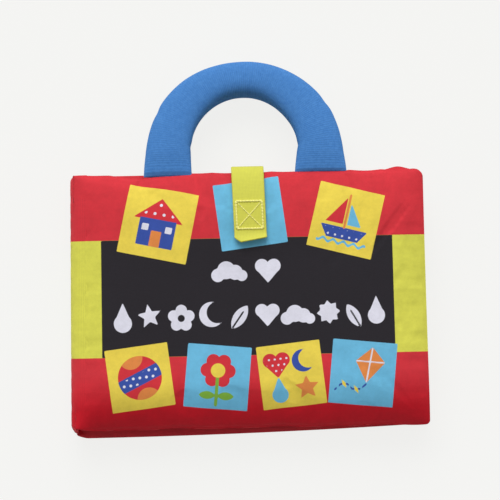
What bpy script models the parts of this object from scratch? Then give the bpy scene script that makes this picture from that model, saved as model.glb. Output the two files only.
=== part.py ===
"""A padded crinkle cloth book, closed and lying on its back cover.

Metres, +Z up. The origin is the middle of the flat that the back cover lies on. +X points from
the spine to the fore edges, +Y to the carrying handle. Each panel is two cloths sewn round
their edges with padding between them, and turns about its own edge at the spine.
"""

import math

import bmesh
import bpy
import numpy as np

# Cloth and seams
CLOTH = 0.0006
TOUCH = 0.0003
SEAM_WIDTH = 0.0015
PADDING_FIT = 0.0004
LAYER_GAP = 0.0004

# Covers
COVER_WIDTH = 0.266
COVER_HEIGHT = 0.192
COVER_CROWN = 0.008
COVER_RUN = 0.0435
COVER_RUN_SHARES = (0.05, 0.17, 0.36, 0.64, 1.0)
COVER_CORNER = 0.010
COVER_DRAW = 0.0015
BACK_SLIP = 0.0045
REST_CUT = 0.0005
LINING_CROWN = 0.004
LINING_RUN = 0.028
LINING_RUN_SHARES = (0.1, 0.4, 1.0)

# Leaves between the covers
LEAF_COUNT = 3
LEAF_CROWN = 0.004
LEAF_RUN = 0.026
LEAF_RUN_SHARES = (0.1, 0.4, 1.0)
LEAF_INSET = 0.004
LEAF_CORNER = 0.014
LEAF_DRAW = 0.002
FILM = 0.0002

# Spine
SPINE_CROWN = 0.003
SPINE_RUN = 0.012
SPINE_RUN_SHARES = (0.25, 1.0)

# Carrying handle, a stuffed tube bent into an arch and sewn flat at both ends
HANDLE_HALF_SPAN = 0.0572
HANDLE_LEG = 0.0135
HANDLE_DIAMETER = 0.0264
HANDLE_FLAT = 0.0018
HANDLE_DROOP = math.radians(16)
HANDLE_STATIONS = 24
HANDLE_SIDES = 14
STUFFING_SKIPPED_STATIONS = 4
STUFFING_FIT = 0.0008

# Closing strap of webbing, with its hook and loop patches
STRAP_WIDTH = 0.0245
STRAP_THICKNESS = 0.0016
STRAP_PLACE = 0.0022
STRAP_SKEW = math.radians(1.2)
STRAP_EASE = 0.0009
STRAP_REACH = 0.0521
STRAP_LIFT = 0.0035
STRAP_LIFT_RUN = 0.011
STRAP_BEND_STEPS = 9
STRAP_END_STEPS = 4
PATCH_THICKNESS = 0.0008
PATCH_MARGIN = 0.0015
PATCH_STEPS = 5
HOOK_PATCH_REACH = (0.0200, 0.0410)
LOOP_PATCH_REACH = (0.0150, 0.0470)

# Heights of the seam planes and lines of the hinges, worked out from the sizes above
PLY = CLOTH + TOUCH / 2
BACK_Z = COVER_CROWN
LEAF_PITCH = 2 * LEAF_CROWN + LAYER_GAP
LOWEST_LEAF_Z = BACK_Z + LINING_CROWN + LAYER_GAP + LEAF_CROWN
FRONT_Z = LOWEST_LEAF_Z + (LEAF_COUNT - 1) * LEAF_PITCH + LEAF_CROWN + LAYER_GAP + LINING_CROWN
HINGE_X = -COVER_WIDTH / 2
LEAF_ROOT = 2 * PLY + TOUCH
COVER_TOP_Y = COVER_HEIGHT / 2
STRAP_Y = COVER_TOP_Y + TOUCH + STRAP_THICKNESS / 2
STRAP_END_Y = COVER_TOP_Y - STRAP_REACH
HANDLE_Y = COVER_TOP_Y + TOUCH + HANDLE_FLAT / 2

RED = "D23C45"
LIME = "D5D558"
BLUE = "4A80C3"
SKY = "62ACD0"
ORANGE = "E08A45"
WHITE = "EDEBE4"
FILM_GREY = "D9DCE0"
CLOTH_ROUGHNESS = 0.85
WEBBING_ROUGHNESS = 0.7
FILM_ROUGHNESS = 0.3


def linear(hex_colour):
    """The linear colour of an sRGB hex colour, with alpha 1."""
    channels = [int(hex_colour[k : k + 2], 16) / 255 for k in (0, 2, 4)]
    low = [c / 12.92 if c <= 0.04045 else ((c + 0.055) / 1.055) ** 2.4 for c in channels]
    return (*low, 1.0)


def material(name, hex_colour, roughness):
    """A plain Principled material for one piece."""
    made = bpy.data.materials.new(name)
    made.use_nodes = True
    shader = made.node_tree.nodes["Principled BSDF"]
    shader.inputs["Base Color"].default_value = linear(hex_colour)
    shader.inputs["Roughness"].default_value = roughness
    shader.inputs["Metallic"].default_value = 0.0
    return made


def place(name, points, faces, colour, roughness, location, rotation):
    """One closed object from its points and faces, with its normals turned out."""
    mesh = bpy.data.meshes.new(name)
    mesh.from_pydata([tuple(point) for point in points], [], faces)
    body = bmesh.new()
    body.from_mesh(mesh)
    bmesh.ops.recalc_face_normals(body, faces=body.faces)
    body.to_mesh(mesh)
    body.free()
    mesh.materials.append(material(name, colour, roughness))
    piece = bpy.data.objects.new(name, mesh)
    piece.location = location
    piece.rotation_euler = rotation
    bpy.context.scene.collection.objects.link(piece)
    return piece


def outline(columns, rows):
    """The point numbers round the edge of a grid of columns by rows, in order."""
    number = np.arange(columns * rows).reshape(columns, rows)
    sides = (number[:-1, 0], number[-1, :-1], number[:0:-1, -1], number[0, :0:-1])
    return [int(point) for point in np.concatenate(sides)]


def grid_triangles(columns, rows):
    """Triangles over a grid, with each diagonal running in from the nearest corner."""
    number = np.arange(columns * rows).reshape(columns, rows)
    triangles = []
    for i in range(columns - 1):
        for j in range(rows - 1):
            a, b = int(number[i, j]), int(number[i + 1, j])
            c, d = int(number[i + 1, j + 1]), int(number[i, j + 1])
            left = 2 * i < columns - 1
            low = 2 * j < rows - 1
            triangles += [(a, b, c), (a, c, d)] if left == low else [(a, b, d), (b, c, d)]
    return triangles


def slab(name, upper, lower, colour, roughness, location, rotation=(0, 0, 0), flat_lower=False):
    """A closed solid between two grids of points of one shape, walled round their edges.

    A lower grid that is flat is closed by one face.
    """
    columns, rows = upper.shape[:2]
    edge = outline(columns, rows)
    top = grid_triangles(columns, rows)
    points = [*upper.reshape(-1, 3)]
    if flat_lower:
        below = list(range(len(points), len(points) + len(edge)))
        points += [lower.reshape(-1, 3)[k] for k in edge]
        bottom = [tuple(below[::-1])]
    else:
        below = [k + len(points) for k in edge]
        bottom = [tuple(k + len(points) for k in triangle[::-1]) for triangle in top]
        points += [*lower.reshape(-1, 3)]
    ring = range(len(edge))
    walls = [(edge[k - 1], edge[k], below[k], below[k - 1]) for k in ring]
    return place(name, points, top + bottom + walls, colour, roughness, location, rotation)


def swell(distance, run):
    """Share of a crown reached at a distance in from the seam: a quarter ellipse, then level."""
    reach = np.clip(distance / run, 0, 1)
    return np.sqrt(1 - (1 - reach) ** 2)


def edge_lines(length, run, run_shares):
    """Distances across a panel: close together up both swells, with one wide cell between."""
    rising = [0.0, SEAM_WIDTH] + [SEAM_WIDTH + run * share for share in run_shares]
    rising = np.array(rising)
    return np.concatenate([rising, length - rising[::-1]])


def panel_plan(width, height, run, run_shares, corner, drawn, slip=0.0):
    """Plan of a sewn panel: x from its hinge edge, y from its middle, and its share of crown.

    Its fore corners are rounded, its fore and lower edges are drawn in towards their middles,
    and a slip lets its lower edge down at the hinge side.
    """
    x, from_bottom = np.meshgrid(
        edge_lines(width, run, run_shares), edge_lines(height, run, run_shares), indexing="ij"
    )
    y = from_bottom - height / 2
    from_side = np.minimum(x, width - x)
    from_end = np.minimum(from_bottom, height - from_bottom)
    crown = swell(from_side - SEAM_WIDTH, run) * swell(from_end - SEAM_WIDTH, run)
    near_fore = np.clip(1 - (width - x) / corner, 0, 1)
    near_end = np.clip(1 - from_end / corner, 0, 1)
    pull = corner * (1 - math.sqrt(0.5)) * (near_fore * near_end) ** 2
    below = np.clip(-2 * y / height, 0, 1)
    along = x / width
    new_x = x - pull - drawn * along * (1 - (2 * y / height) ** 2)
    new_y = y - pull * np.sign(y)
    new_y += below * (drawn * (1 - (2 * along - 1) ** 2) - slip * (1 - along))
    return new_x, new_y, crown


def cloth(name, plan, side, rise, cap, colour, location, rotation=(0, 0, 0)):
    """One cloth of a panel, on the side +1 or -1 of its seam plane, crowned up to its cap."""
    x, y, crown = plan
    height = np.minimum(rise * crown, cap)
    outer = np.stack([x, y, side * (PLY + height)], axis=-1)
    inner = np.stack([x, y, side * (PLY - CLOTH + height)], axis=-1)
    return slab(name, outer, inner, colour, CLOTH_ROUGHNESS, location, rotation)


def inside(values):
    """The part of a panel's grid that its padding fills."""
    return values[2:-2, 2:-2]


def padding(name, plan, side, rise, cap, core, location, rotation=(0, 0, 0)):
    """A layer of wadding on one side of a panel, from its core out to just under its cloth."""
    x, y, crown = (inside(values) for values in plan)
    height = np.minimum(rise * crown, cap)
    outer = np.stack([x, y, side * (TOUCH / 2 + height - PADDING_FIT)], axis=-1)
    inner = np.stack([x, y, np.full_like(x, side * core)], axis=-1)
    slab(name, outer, inner, WHITE, CLOTH_ROUGHNESS, location, rotation, flat_lower=True)


def build_cover(name, z, outer_side, colour, outer_rise, outer_cap, slip):
    """A cover: printed cloth outside, lining inside, and wadding between them."""
    location = (HINGE_X, 0, z)
    shape = (COVER_CORNER, COVER_DRAW, slip)
    outer_plan = panel_plan(COVER_WIDTH, COVER_HEIGHT, COVER_RUN, COVER_RUN_SHARES, *shape)
    inner_plan = panel_plan(COVER_WIDTH, COVER_HEIGHT, LINING_RUN, LINING_RUN_SHARES, *shape)
    lining_rise = LINING_CROWN - PLY
    outer_layer = (outer_plan, outer_side, outer_rise, outer_cap)
    inner_layer = (inner_plan, -outer_side, lining_rise, lining_rise)
    cloth(f"{name}_face", *outer_layer, colour, location)
    cloth(f"{name}_lining", *inner_layer, SKY, location)
    padding(f"{name}_outer_wadding", *outer_layer, TOUCH / 2, location)
    padding(f"{name}_inner_wadding", *inner_layer, TOUCH / 2, location)


def build_leaf(number):
    """A leaf: two cloths, two thin layers of wadding and a crinkle film between the layers."""
    name = f"leaf_{number}"
    z = LOWEST_LEAF_Z + (LEAF_COUNT - number) * LEAF_PITCH
    location = (HINGE_X + LEAF_ROOT, 0, z)
    width = COVER_WIDTH - LEAF_ROOT - LEAF_INSET
    height = COVER_HEIGHT - 2 * LEAF_INSET
    plan = panel_plan(width, height, LEAF_RUN, LEAF_RUN_SHARES, LEAF_CORNER, LEAF_DRAW)
    rise = LEAF_CROWN - PLY
    for side_name, side, colour in (("front", 1, LIME), ("back", -1, ORANGE)):
        cloth(f"{name}_{side_name}", plan, side, rise, rise, colour, location)
        core = FILM / 2 + TOUCH
        padding(f"{name}_{side_name}_wadding", plan, side, rise, rise, core, location)
    x, y, _ = (inside(values)[:: len(LEAF_RUN_SHARES) * 2 - 1] for values in plan)
    x, y = (values[:, :: values.shape[1] - 1] for values in (x, y))
    upper = np.stack([x, y, np.full_like(x, FILM / 2)], axis=-1)
    lower = np.stack([x, y, np.full_like(x, -FILM / 2)], axis=-1)
    slab(f"{name}_film", upper, lower, FILM_GREY, FILM_ROUGHNESS, location)


def build_spine():
    """The spine: a narrow panel that stands between the covers' hinge edges, crowned outwards."""
    location = (HINGE_X, 0, BACK_Z)
    upright = (0, -math.pi / 2, 0)
    end_gap = PLY + TOUCH
    width = FRONT_Z - BACK_Z - 2 * end_gap
    lines = edge_lines(width, SPINE_RUN, SPINE_RUN_SHARES)
    ends = np.array([-COVER_TOP_Y, COVER_TOP_Y])
    x, y = np.meshgrid(lines, ends, indexing="ij")
    crown = swell(np.minimum(x, width - x) - SEAM_WIDTH, SPINE_RUN)
    plan = (x + end_gap, y, crown)
    rise = SPINE_CROWN - PLY
    cloth("spine_face", plan, 1, rise, rise, LIME, location, upright)
    cloth("spine_lining", plan, -1, 0.0, 0.0, SKY, location, upright)
    x, y, crown = (values[2:-2] for values in plan)
    top = np.stack([x, y, TOUCH / 2 + rise * crown - PADDING_FIT], axis=-1)
    bottom = np.stack([x, y, np.full_like(x, TOUCH / 2)], axis=-1)
    slab("spine_wadding", top, bottom, WHITE, CLOTH_ROUGHNESS, location, upright)


def handle_rings(inward, first, last):
    """Rings of the handle's tube, from one sewn end over the arch to the other.

    Its centre line is a straight leg, a half circle and a leg. The cloth keeps its girth, so
    the section is a circle at the top and a flat, wider ellipse where it is sewn down.
    """
    bend = math.pi * HANDLE_HALF_SPAN
    length = 2 * HANDLE_LEG + bend
    widest = math.sqrt(2 * HANDLE_DIAMETER**2 - HANDLE_FLAT**2)
    rings = []
    for station in range(first, last + 1):
        run = length * (1 - math.cos(math.pi * station / HANDLE_STATIONS)) / 2
        turn = min(max((run - HANDLE_LEG) / HANDLE_HALF_SPAN, 0), math.pi)
        straight = min(run, HANDLE_LEG, length - run)
        centre = np.array(
            [
                -HANDLE_HALF_SPAN * math.cos(turn),
                straight + HANDLE_HALF_SPAN * math.sin(turn),
                0,
            ]
        )
        from_seam = 2 * min(run, length - run) / length
        wide = HANDLE_DIAMETER + (widest - HANDLE_DIAMETER) * (1 - from_seam) ** 2
        thick = math.sqrt(max(2 * HANDLE_DIAMETER**2 - wide**2, HANDLE_FLAT**2))
        outward = np.array([-math.cos(turn), math.sin(turn), 0])
        angles = 2 * math.pi * np.arange(HANDLE_SIDES) / HANDLE_SIDES
        across = np.outer(np.cos(angles), outward) * (wide / 2 - inward)
        up = np.outer(np.sin(angles), [0, 0, 1]) * (thick / 2 - inward)
        rings.append(centre + across + up)
    return rings


def ring_walls(ring_count, sides, start=0):
    """Quads between neighbouring rings of points."""
    quads = []
    for ring in range(ring_count - 1):
        base = start + ring * sides
        for k in range(sides):
            after = (k + 1) % sides
            quads.append((base + k, base + after, base + sides + after, base + sides + k))
    return quads


def build_handle():
    """The handle: a cloth sleeve, open where it is sewn flat, round a core of stuffing."""
    location = (0, HANDLE_Y, FRONT_Z)
    rotation = (-HANDLE_DROOP, 0, 0)
    outer = handle_rings(0.0, 0, HANDLE_STATIONS)
    inner = handle_rings(CLOTH, 0, HANDLE_STATIONS)
    points = np.concatenate(outer + inner)
    half = len(outer) * HANDLE_SIDES
    faces = ring_walls(len(outer), HANDLE_SIDES)
    faces += [quad[::-1] for quad in ring_walls(len(inner), HANDLE_SIDES, half)]
    for end in (0, half - HANDLE_SIDES):
        for k in range(HANDLE_SIDES):
            a, b = end + k, end + (k + 1) % HANDLE_SIDES
            faces.append((a, b, b + half, a + half))
    place("handle_sleeve", points, faces, BLUE, CLOTH_ROUGHNESS, location, rotation)

    last = HANDLE_STATIONS - STUFFING_SKIPPED_STATIONS
    core = handle_rings(CLOTH + STUFFING_FIT, STUFFING_SKIPPED_STATIONS, last)
    points = np.concatenate(core)
    faces = ring_walls(len(core), HANDLE_SIDES)
    faces.append(tuple(range(HANDLE_SIDES)))
    faces.append(tuple(range(len(points) - HANDLE_SIDES, len(points))))
    place("handle_stuffing", points, faces, WHITE, CLOTH_ROUGHNESS, location, rotation)


def cover_top(y):
    """Height of the front cover's outer face at a distance up the page from its middle."""
    from_seam = COVER_TOP_Y - SEAM_WIDTH - np.asarray(y)
    return FRONT_Z + PLY + (COVER_CROWN - PLY) * swell(from_seam, COVER_RUN)


def strap_line(y):
    """Height of the middle of the strap over the front cover: a quarter ellipse, then a lift."""
    middle_y = COVER_TOP_Y - SEAM_WIDTH - COVER_RUN
    stack = 3 * TOUCH + 2 * PATCH_THICKNESS + STRAP_THICKNESS / 2 + STRAP_EASE
    across = STRAP_Y - middle_y
    up = COVER_CROWN - PLY + stack
    reach = np.clip((np.asarray(y) - middle_y) / across, 0, 1)
    lift_from = STRAP_END_Y + STRAP_LIFT_RUN
    lifted = np.clip((lift_from - np.asarray(y)) / STRAP_LIFT_RUN, 0, 1)
    return FRONT_Z + PLY + up * np.sqrt(1 - reach**2) + STRAP_LIFT * lifted**2


def band(name, y, z, half_width, thickness, colour, origin, skew=0.0):
    """A flat band along a line of places (y, z), with its ends square to the line."""
    step_y = np.gradient(y)
    step_z = np.gradient(z)
    size = np.hypot(step_y, step_z)
    normal_y, normal_z = -step_z / size, step_y / size
    lean = math.tan(skew) * (STRAP_Y - y)
    surfaces = []
    for side in (1, -1):
        rows = []
        for edge in (-half_width, half_width):
            line_y = y + side * normal_y * thickness / 2
            line_z = z + side * normal_z * thickness / 2
            rows.append(np.stack([STRAP_PLACE + edge + lean, line_y, line_z], axis=-1))
        surfaces.append(np.stack(rows, axis=1) - np.array(origin))
    slab(name, *surfaces, colour, WEBBING_ROUGHNESS, origin)


def build_strap():
    """The strap: a riser sewn to the back cover, a tab over the front cover and two patches."""
    half_width = STRAP_WIDTH / 2
    bend_z = FRONT_Z + PLY
    foot = (STRAP_PLACE, STRAP_Y, BACK_Z)
    riser_z = np.array([BACK_Z, bend_z - TOUCH])
    riser_y = np.full_like(riser_z, STRAP_Y)
    band("strap_riser", riser_y, riser_z, half_width, STRAP_THICKNESS, LIME, foot)

    bend = (STRAP_PLACE, STRAP_Y, bend_z)
    middle_y = COVER_TOP_Y - SEAM_WIDTH - COVER_RUN
    angles = np.linspace(0, math.pi / 2, STRAP_BEND_STEPS + 1)
    bent_y = middle_y + (STRAP_Y - middle_y) * np.cos(angles)
    end_y = np.linspace(middle_y, STRAP_END_Y, STRAP_END_STEPS + 1)[1:]
    y = np.concatenate([bent_y, end_y])
    z = strap_line(y)
    band("strap_tab", y, z, half_width, STRAP_THICKNESS, LIME, bend, STRAP_SKEW)

    patch_half = half_width - PATCH_MARGIN
    y = COVER_TOP_Y - np.linspace(*HOOK_PATCH_REACH, PATCH_STEPS + 1)
    below = STRAP_THICKNESS / 2 + TOUCH + PATCH_THICKNESS / 2
    z = strap_line(y) - below
    band("strap_hook_patch", y, z, patch_half, PATCH_THICKNESS, WHITE, bend, STRAP_SKEW)

    y = COVER_TOP_Y - np.linspace(*LOOP_PATCH_REACH, PATCH_STEPS + 1)
    z = cover_top(y) + TOUCH + PATCH_THICKNESS / 2
    on_cover = (HINGE_X, 0, FRONT_Z)
    band("strap_loop_patch", y, z, patch_half, PATCH_THICKNESS, WHITE, on_cover, STRAP_SKEW)


def main():
    for old in list(bpy.data.objects):
        bpy.data.objects.remove(old)
    full = COVER_CROWN - PLY
    build_cover("front_cover", FRONT_Z, 1, RED, full, full, 0.0)
    build_cover("back_cover", BACK_Z, -1, RED, full + REST_CUT, full, BACK_SLIP)
    build_spine()
    for number in range(1, LEAF_COUNT + 1):
        build_leaf(number)
    build_handle()
    build_strap()


main()
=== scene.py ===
"""The looks of a padded crinkle cloth book with a stuffed handle and a closing strap."""

import math

import bmesh
import bpy
import numpy as np
from mathutils import Matrix, Vector


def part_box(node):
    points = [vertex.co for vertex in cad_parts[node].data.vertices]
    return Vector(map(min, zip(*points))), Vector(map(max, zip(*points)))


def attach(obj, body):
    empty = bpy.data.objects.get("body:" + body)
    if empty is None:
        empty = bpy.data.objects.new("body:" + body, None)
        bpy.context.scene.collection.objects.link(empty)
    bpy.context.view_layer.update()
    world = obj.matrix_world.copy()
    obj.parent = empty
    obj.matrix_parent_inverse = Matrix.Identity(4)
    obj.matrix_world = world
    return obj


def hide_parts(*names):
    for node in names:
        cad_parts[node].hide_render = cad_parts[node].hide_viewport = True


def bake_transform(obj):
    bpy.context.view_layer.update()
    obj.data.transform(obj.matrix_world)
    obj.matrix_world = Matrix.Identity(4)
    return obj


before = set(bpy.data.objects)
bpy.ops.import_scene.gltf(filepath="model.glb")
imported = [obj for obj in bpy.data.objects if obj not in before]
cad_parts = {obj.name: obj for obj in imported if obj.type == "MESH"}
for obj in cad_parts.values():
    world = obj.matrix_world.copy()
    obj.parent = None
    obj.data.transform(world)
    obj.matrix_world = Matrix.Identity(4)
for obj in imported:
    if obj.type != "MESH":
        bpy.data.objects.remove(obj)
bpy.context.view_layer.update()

# Table, lamps and camera.
# The closed book lies on pale paper and is taken from straight above, turned a little. One
# broad soft lamp stands beyond the handle, to the left, in a pale room that gives the rest.

VIEW_WIDTH = 0.3770
VIEW_CENTRE = (-0.0010, 0.0375)
CAMERA_LENS = 320.0
CAMERA_ELEVATION = math.radians(89.0)
BOOK_TURN = math.radians(1.2)
KEY_FROM = (-0.12, 0.80, 0.88)
KEY_SHARE = 0.42
KEY_SOFTNESS = math.radians(38)
ROOM_LOW, ROOM_HIGH = 0.10, 1.90
PAPER = "FBFBF9"
BACKGROUND = "F5F5F3"
PAPER_GLOW = 0.91
TABLE_HALF = 3.0


def linear(hex_colour):
    """The linear colour of an sRGB hex colour: a power of 2.4, straight near black."""
    channels = np.array([int(hex_colour[k : k + 2], 16) for k in (0, 2, 4)]) / 255
    curved = ((channels + 0.055) / 1.055) ** 2.4
    return (*np.where(channels <= 0.04045, channels / 12.92, curved), 1.0)


def add_node(tree, kind, values=(), links=(), **settings):
    """Add a node, set its properties and sockets, and link its sockets to (node, output)."""
    node = tree.nodes.new(kind)
    for key, value in settings.items():
        setattr(node, key, value)
    for socket, value in dict(values).items():
        node.inputs[socket].default_value = value
    for socket, (source, output) in dict(links).items():
        tree.links.new(source.outputs[output], node.inputs[socket])
    return node


def start_material(name):
    """A new node material, with its tree and its Principled shader."""
    finish = bpy.data.materials.new(name)
    finish.use_nodes = True
    return finish, finish.node_tree, finish.node_tree.nodes["Principled BSDF"]


def build_table():
    """A level square of matt paper, much wider than the view."""
    finish, tree, shader = start_material("matt_paper")
    place = add_node(tree, "ShaderNodeTexCoord")
    fibres = add_node(tree, "ShaderNodeTexNoise", {"Scale": 300.0}, {0: (place, "Object")})
    level = {"To Min": 0.92, "To Max": 0.98}
    rough = add_node(tree, "ShaderNodeMapRange", level, {"Value": (fibres, "Fac")})
    tree.links.new(rough.outputs["Result"], shader.inputs["Roughness"])
    shader.inputs["Base Color"].default_value = linear(PAPER)
    shader.inputs["Specular IOR Level"].default_value = 0.1
    rays = add_node(tree, "ShaderNodeLightPath")
    white = {0: (rays, "Is Camera Ray"), 1: (rays, "Is Glossy Ray")}
    seen = add_node(tree, "ShaderNodeMath", (), white, operation="MAXIMUM")
    share = add_node(tree, "ShaderNodeMath", {1: PAPER_GLOW}, {0: (seen, 0)}, operation="MULTIPLY")
    glow = add_node(tree, "ShaderNodeEmission", {"Color": linear(BACKGROUND)})
    parts = {0: (share, 0), 1: (shader, 0), 2: (glow, 0)}
    mix = add_node(tree, "ShaderNodeMixShader", (), parts)
    tree.links.new(mix.outputs[0], tree.nodes["Material Output"].inputs["Surface"])
    corners = TABLE_HALF * np.array([(-1, -1, 0), (1, -1, 0), (1, 1, 0), (-1, 1, 0)])
    sheet = bpy.data.meshes.new("paper_sweep")
    sheet.from_pydata(corners.tolist(), [], [(0, 1, 2, 3)])
    sheet.materials.append(finish)
    table = bpy.data.objects.new("paper_sweep", sheet)
    bpy.context.scene.collection.objects.link(table)


def build_lamps():
    """A room that the camera and gloss see as white paper, and one soft lamp.

    Level paper gets KEY_SHARE of its light from the lamp and the rest from the room, whose
    light grows evenly from ROOM_LOW in front of the book to ROOM_HIGH beyond its handle.
    """
    scene = bpy.context.scene
    scene.view_settings.view_transform = "Standard"
    world = bpy.data.worlds.new("pale_room")
    world.use_nodes = True
    tree = world.node_tree
    tree.nodes.clear()
    rays = add_node(tree, "ShaderNodeLightPath")
    either = (rays, "Is Camera Ray")
    for kind in ("Is Glossy Ray", "Is Transmission Ray"):
        added = {0: either, 1: (rays, kind)}
        either = (add_node(tree, "ShaderNodeMath", (), added, operation="MAXIMUM"), 0)
    way = add_node(tree, "ShaderNodeTexCoord")
    parts = add_node(tree, "ShaderNodeSeparateXYZ", (), {0: (way, "Generated")})
    reach = [(1.0 - KEY_SHARE) * strength for strength in (ROOM_LOW, ROOM_HIGH)]
    span = {"From Min": -1.0, "From Max": 1.0, "To Min": reach[0], "To Max": reach[1]}
    level = add_node(tree, "ShaderNodeMapRange", span, {"Value": (parts, "Y")})
    room = add_node(tree, "ShaderNodeBackground", (), {"Strength": (level, "Result")})
    seen = add_node(tree, "ShaderNodeBackground", {"Color": linear(BACKGROUND)})
    mix = add_node(tree, "ShaderNodeMixShader", links={0: either, 1: (room, 0), 2: (seen, 0)})
    add_node(tree, "ShaderNodeOutputWorld", links={"Surface": (mix, 0)})
    scene.world = world

    direction = Vector(KEY_FROM).normalized()
    lamp = bpy.data.lights.new("soft_lamp", "SUN")
    lamp.energy = KEY_SHARE * math.pi / direction.z
    lamp.angle = KEY_SOFTNESS
    stand = bpy.data.objects.new("soft_lamp", lamp)
    stand.rotation_euler = (-direction).to_track_quat("-Z", "Y").to_euler()
    scene.collection.objects.link(stand)


def build_camera():
    """A long lens over the front cover, whose frame is VIEW_WIDTH wide at the cover's height."""
    camera = bpy.data.cameras.new("camera")
    camera.lens = CAMERA_LENS
    target = Vector((*VIEW_CENTRE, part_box("front_cover_face")[1].z))
    distance = VIEW_WIDTH / camera.sensor_width * CAMERA_LENS
    back = Vector((0, -math.cos(CAMERA_ELEVATION), math.sin(CAMERA_ELEVATION)))
    turn = Matrix.Rotation(-BOOK_TURN, 4, "Z")
    tilt = Matrix.Rotation(math.pi / 2 - CAMERA_ELEVATION, 4, "X")
    holder = bpy.data.objects.new("camera", camera)
    holder.matrix_world = Matrix.Translation(target + back * distance) @ turn @ tilt
    bpy.context.scene.collection.objects.link(holder)
    bpy.context.scene.camera = holder


build_table()
build_lamps()
build_camera()

# Printed cotton for the covers and pages.
# Poplin: a plain weave of fine spun threads, printed in flat inks, then washed a little soft.
# The real thread is 0.3 mm; it is drawn three times as coarse, so that the weave shows.

THREAD = 0.0009
INK_EDGE = 0.16


def band_scale(period):
    """Scale of a wave texture whose bands come once in a period: 2 pi over 20 periods."""
    return 2 * math.pi / (20 * period)


def tone_of(tree, *patterns):
    """A tone: the product of two patterns, each a source and the range it is read in."""
    levels = [
        (add_node(tree, "ShaderNodeMapRange", span, {"Value": source}), "Result")
        for source, span in patterns
    ]
    return add_node(tree, "ShaderNodeMath", (), enumerate(levels), operation="MULTIPLY"), 0


def finish_surface(tree, shader, colour, tone, rough, relief, **settings):
    """Link a surface to its shader: its colour times its tone, its roughness and its relief.

    rough and relief are each a source and the values of the node that reads it.
    """
    scaled = {0: colour, "Scale": tone}
    toned = add_node(tree, "ShaderNodeVectorMath", (), scaled, operation="SCALE")
    tree.links.new(toned.outputs[0], shader.inputs["Base Color"])
    spread = add_node(tree, "ShaderNodeMapRange", rough[1], {"Value": rough[0]})
    tree.links.new(spread.outputs["Result"], shader.inputs["Roughness"])
    bump = add_node(tree, "ShaderNodeBump", relief[1], {"Height": relief[0]}, **settings)
    tree.links.new(bump.outputs["Normal"], shader.inputs["Normal"])


def cotton(name, ground, inks=()):
    """Woven cotton of one ground colour, with inks (attribute, colour) laid over it in order.

    Each ink's attribute is the distance in mm inside its shapes, so that its edge stays sharp.
    The weave's height is the higher of two crossed waves, one thread wide, plus grain, and the
    colour is lighter on the threads and in slow clouds where the print has faded.
    """
    finish, tree, shader = start_material(name)
    place = add_node(tree, "ShaderNodeTexCoord")
    at = {"Vector": (place, "UV")}
    across = {"Scale": band_scale(THREAD), "Distortion": 0.5, "Detail": 1.0}
    warp = add_node(tree, "ShaderNodeTexWave", across, at, bands_direction="X")
    weft = add_node(tree, "ShaderNodeTexWave", across, at, bands_direction="Y")
    grain = add_node(tree, "ShaderNodeTexNoise", {"Scale": 1100.0, "Detail": 3.0}, at)
    mottle = {"Scale": 60.0, "Detail": 5.0, "Roughness": 0.8}
    cloud = add_node(tree, "ShaderNodeTexNoise", mottle, at)
    crossed = {0: (warp, "Fac"), 1: (weft, "Fac")}
    weave = add_node(tree, "ShaderNodeMath", (), crossed, operation="MAXIMUM")

    cloth = add_node(tree, "ShaderNodeRGB")
    cloth.outputs[0].default_value = linear(ground)
    colour = (cloth, 0)
    # On the covers and the spine the first layer is a painted shade at the foot.
    for attribute, ink in inks:
        depth = add_node(tree, "ShaderNodeAttribute", attribute_name=attribute)
        edge = {"From Min": -INK_EDGE, "From Max": INK_EDGE}
        inside = add_node(tree, "ShaderNodeMapRange", edge, {"Value": (depth, "Fac")})
        layers = {0: (inside, "Result"), 6: colour}
        mixed = add_node(tree, "ShaderNodeMix", {7: linear(ink)}, layers, data_type="RGBA")
        colour = (mixed, 2)

    faded = {"From Min": 0.3, "From Max": 0.7, "To Min": 0.90, "To Max": 1.10}
    raised = {"To Min": 0.86, "To Max": 1.05}
    tone = tone_of(tree, ((cloud, "Fac"), faded), ((weave, 0), raised))
    rough = ((grain, "Fac"), {"To Min": 0.75, "To Max": 0.95})
    summed = {0: (grain, "Fac"), 1: (weave, 0)}
    height = add_node(tree, "ShaderNodeMath", (), summed, operation="ADD")
    relief = ((height, 0), {"Strength": 0.4, "Distance": 0.00012})
    finish_surface(tree, shader, colour, tone, rough, relief)
    shader.inputs["Specular IOR Level"].default_value = 0.4
    return finish


# Sewn padded panels.
# Two cottons are sewn face to face round their edges, turned out over wadding and pressed
# between their neighbours. The seams draw the sides in and gather small puckers.

SEAM = 0.0015
FLANGE = 0.00075
COVER_SIZE = (0.266, 0.1934)
HALF_HEIGHT = COVER_SIZE[1] / 2
FOOT_SPREAD = 0.0152
LOW_CORNER = 0.5
CROWDING = 0.35
HINGE_TURN = 0.0012
HINGE_TURN_REACH = 0.008
HINGE_TURN_FADE = 1.5
TURN_POWER = 6
SLIP_TURN = 0.15
GATHER = 0.014
GATHER_REACH = 0.008
GATHER_DEPTH = 0.35
LUMP = 0.06
LUMP_RISE = 0.0003
LOWER_SAGS = {"front_cover": 0.0100, "leaf_1": 0.0072, "leaf_2": 0.0042, "leaf_3": 0.0018}
LOWER_SAG_RUN = 0.036
SAG_FADE = 0.021
SIM_GRID = (64, 46)
SIM_FRAMES = 20
SIM_PRESSURE = 4.0
SIM_BENDING = 0.2
SIM_RISE = 0.003
SIM_RUN = 0.03
SIM_UNEVEN = 0.15
FOLD_LIMIT = 0.0007
FOLD_SHARE = 0.8
BASE_GAP = 0.00005


def swell(distance, run):
    """Share of a crown reached at a distance in from the seam: a quarter ellipse, then level."""
    reach = np.clip(distance / run, 0, 1)
    return np.sqrt(1 - (1 - reach) ** 2)


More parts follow.
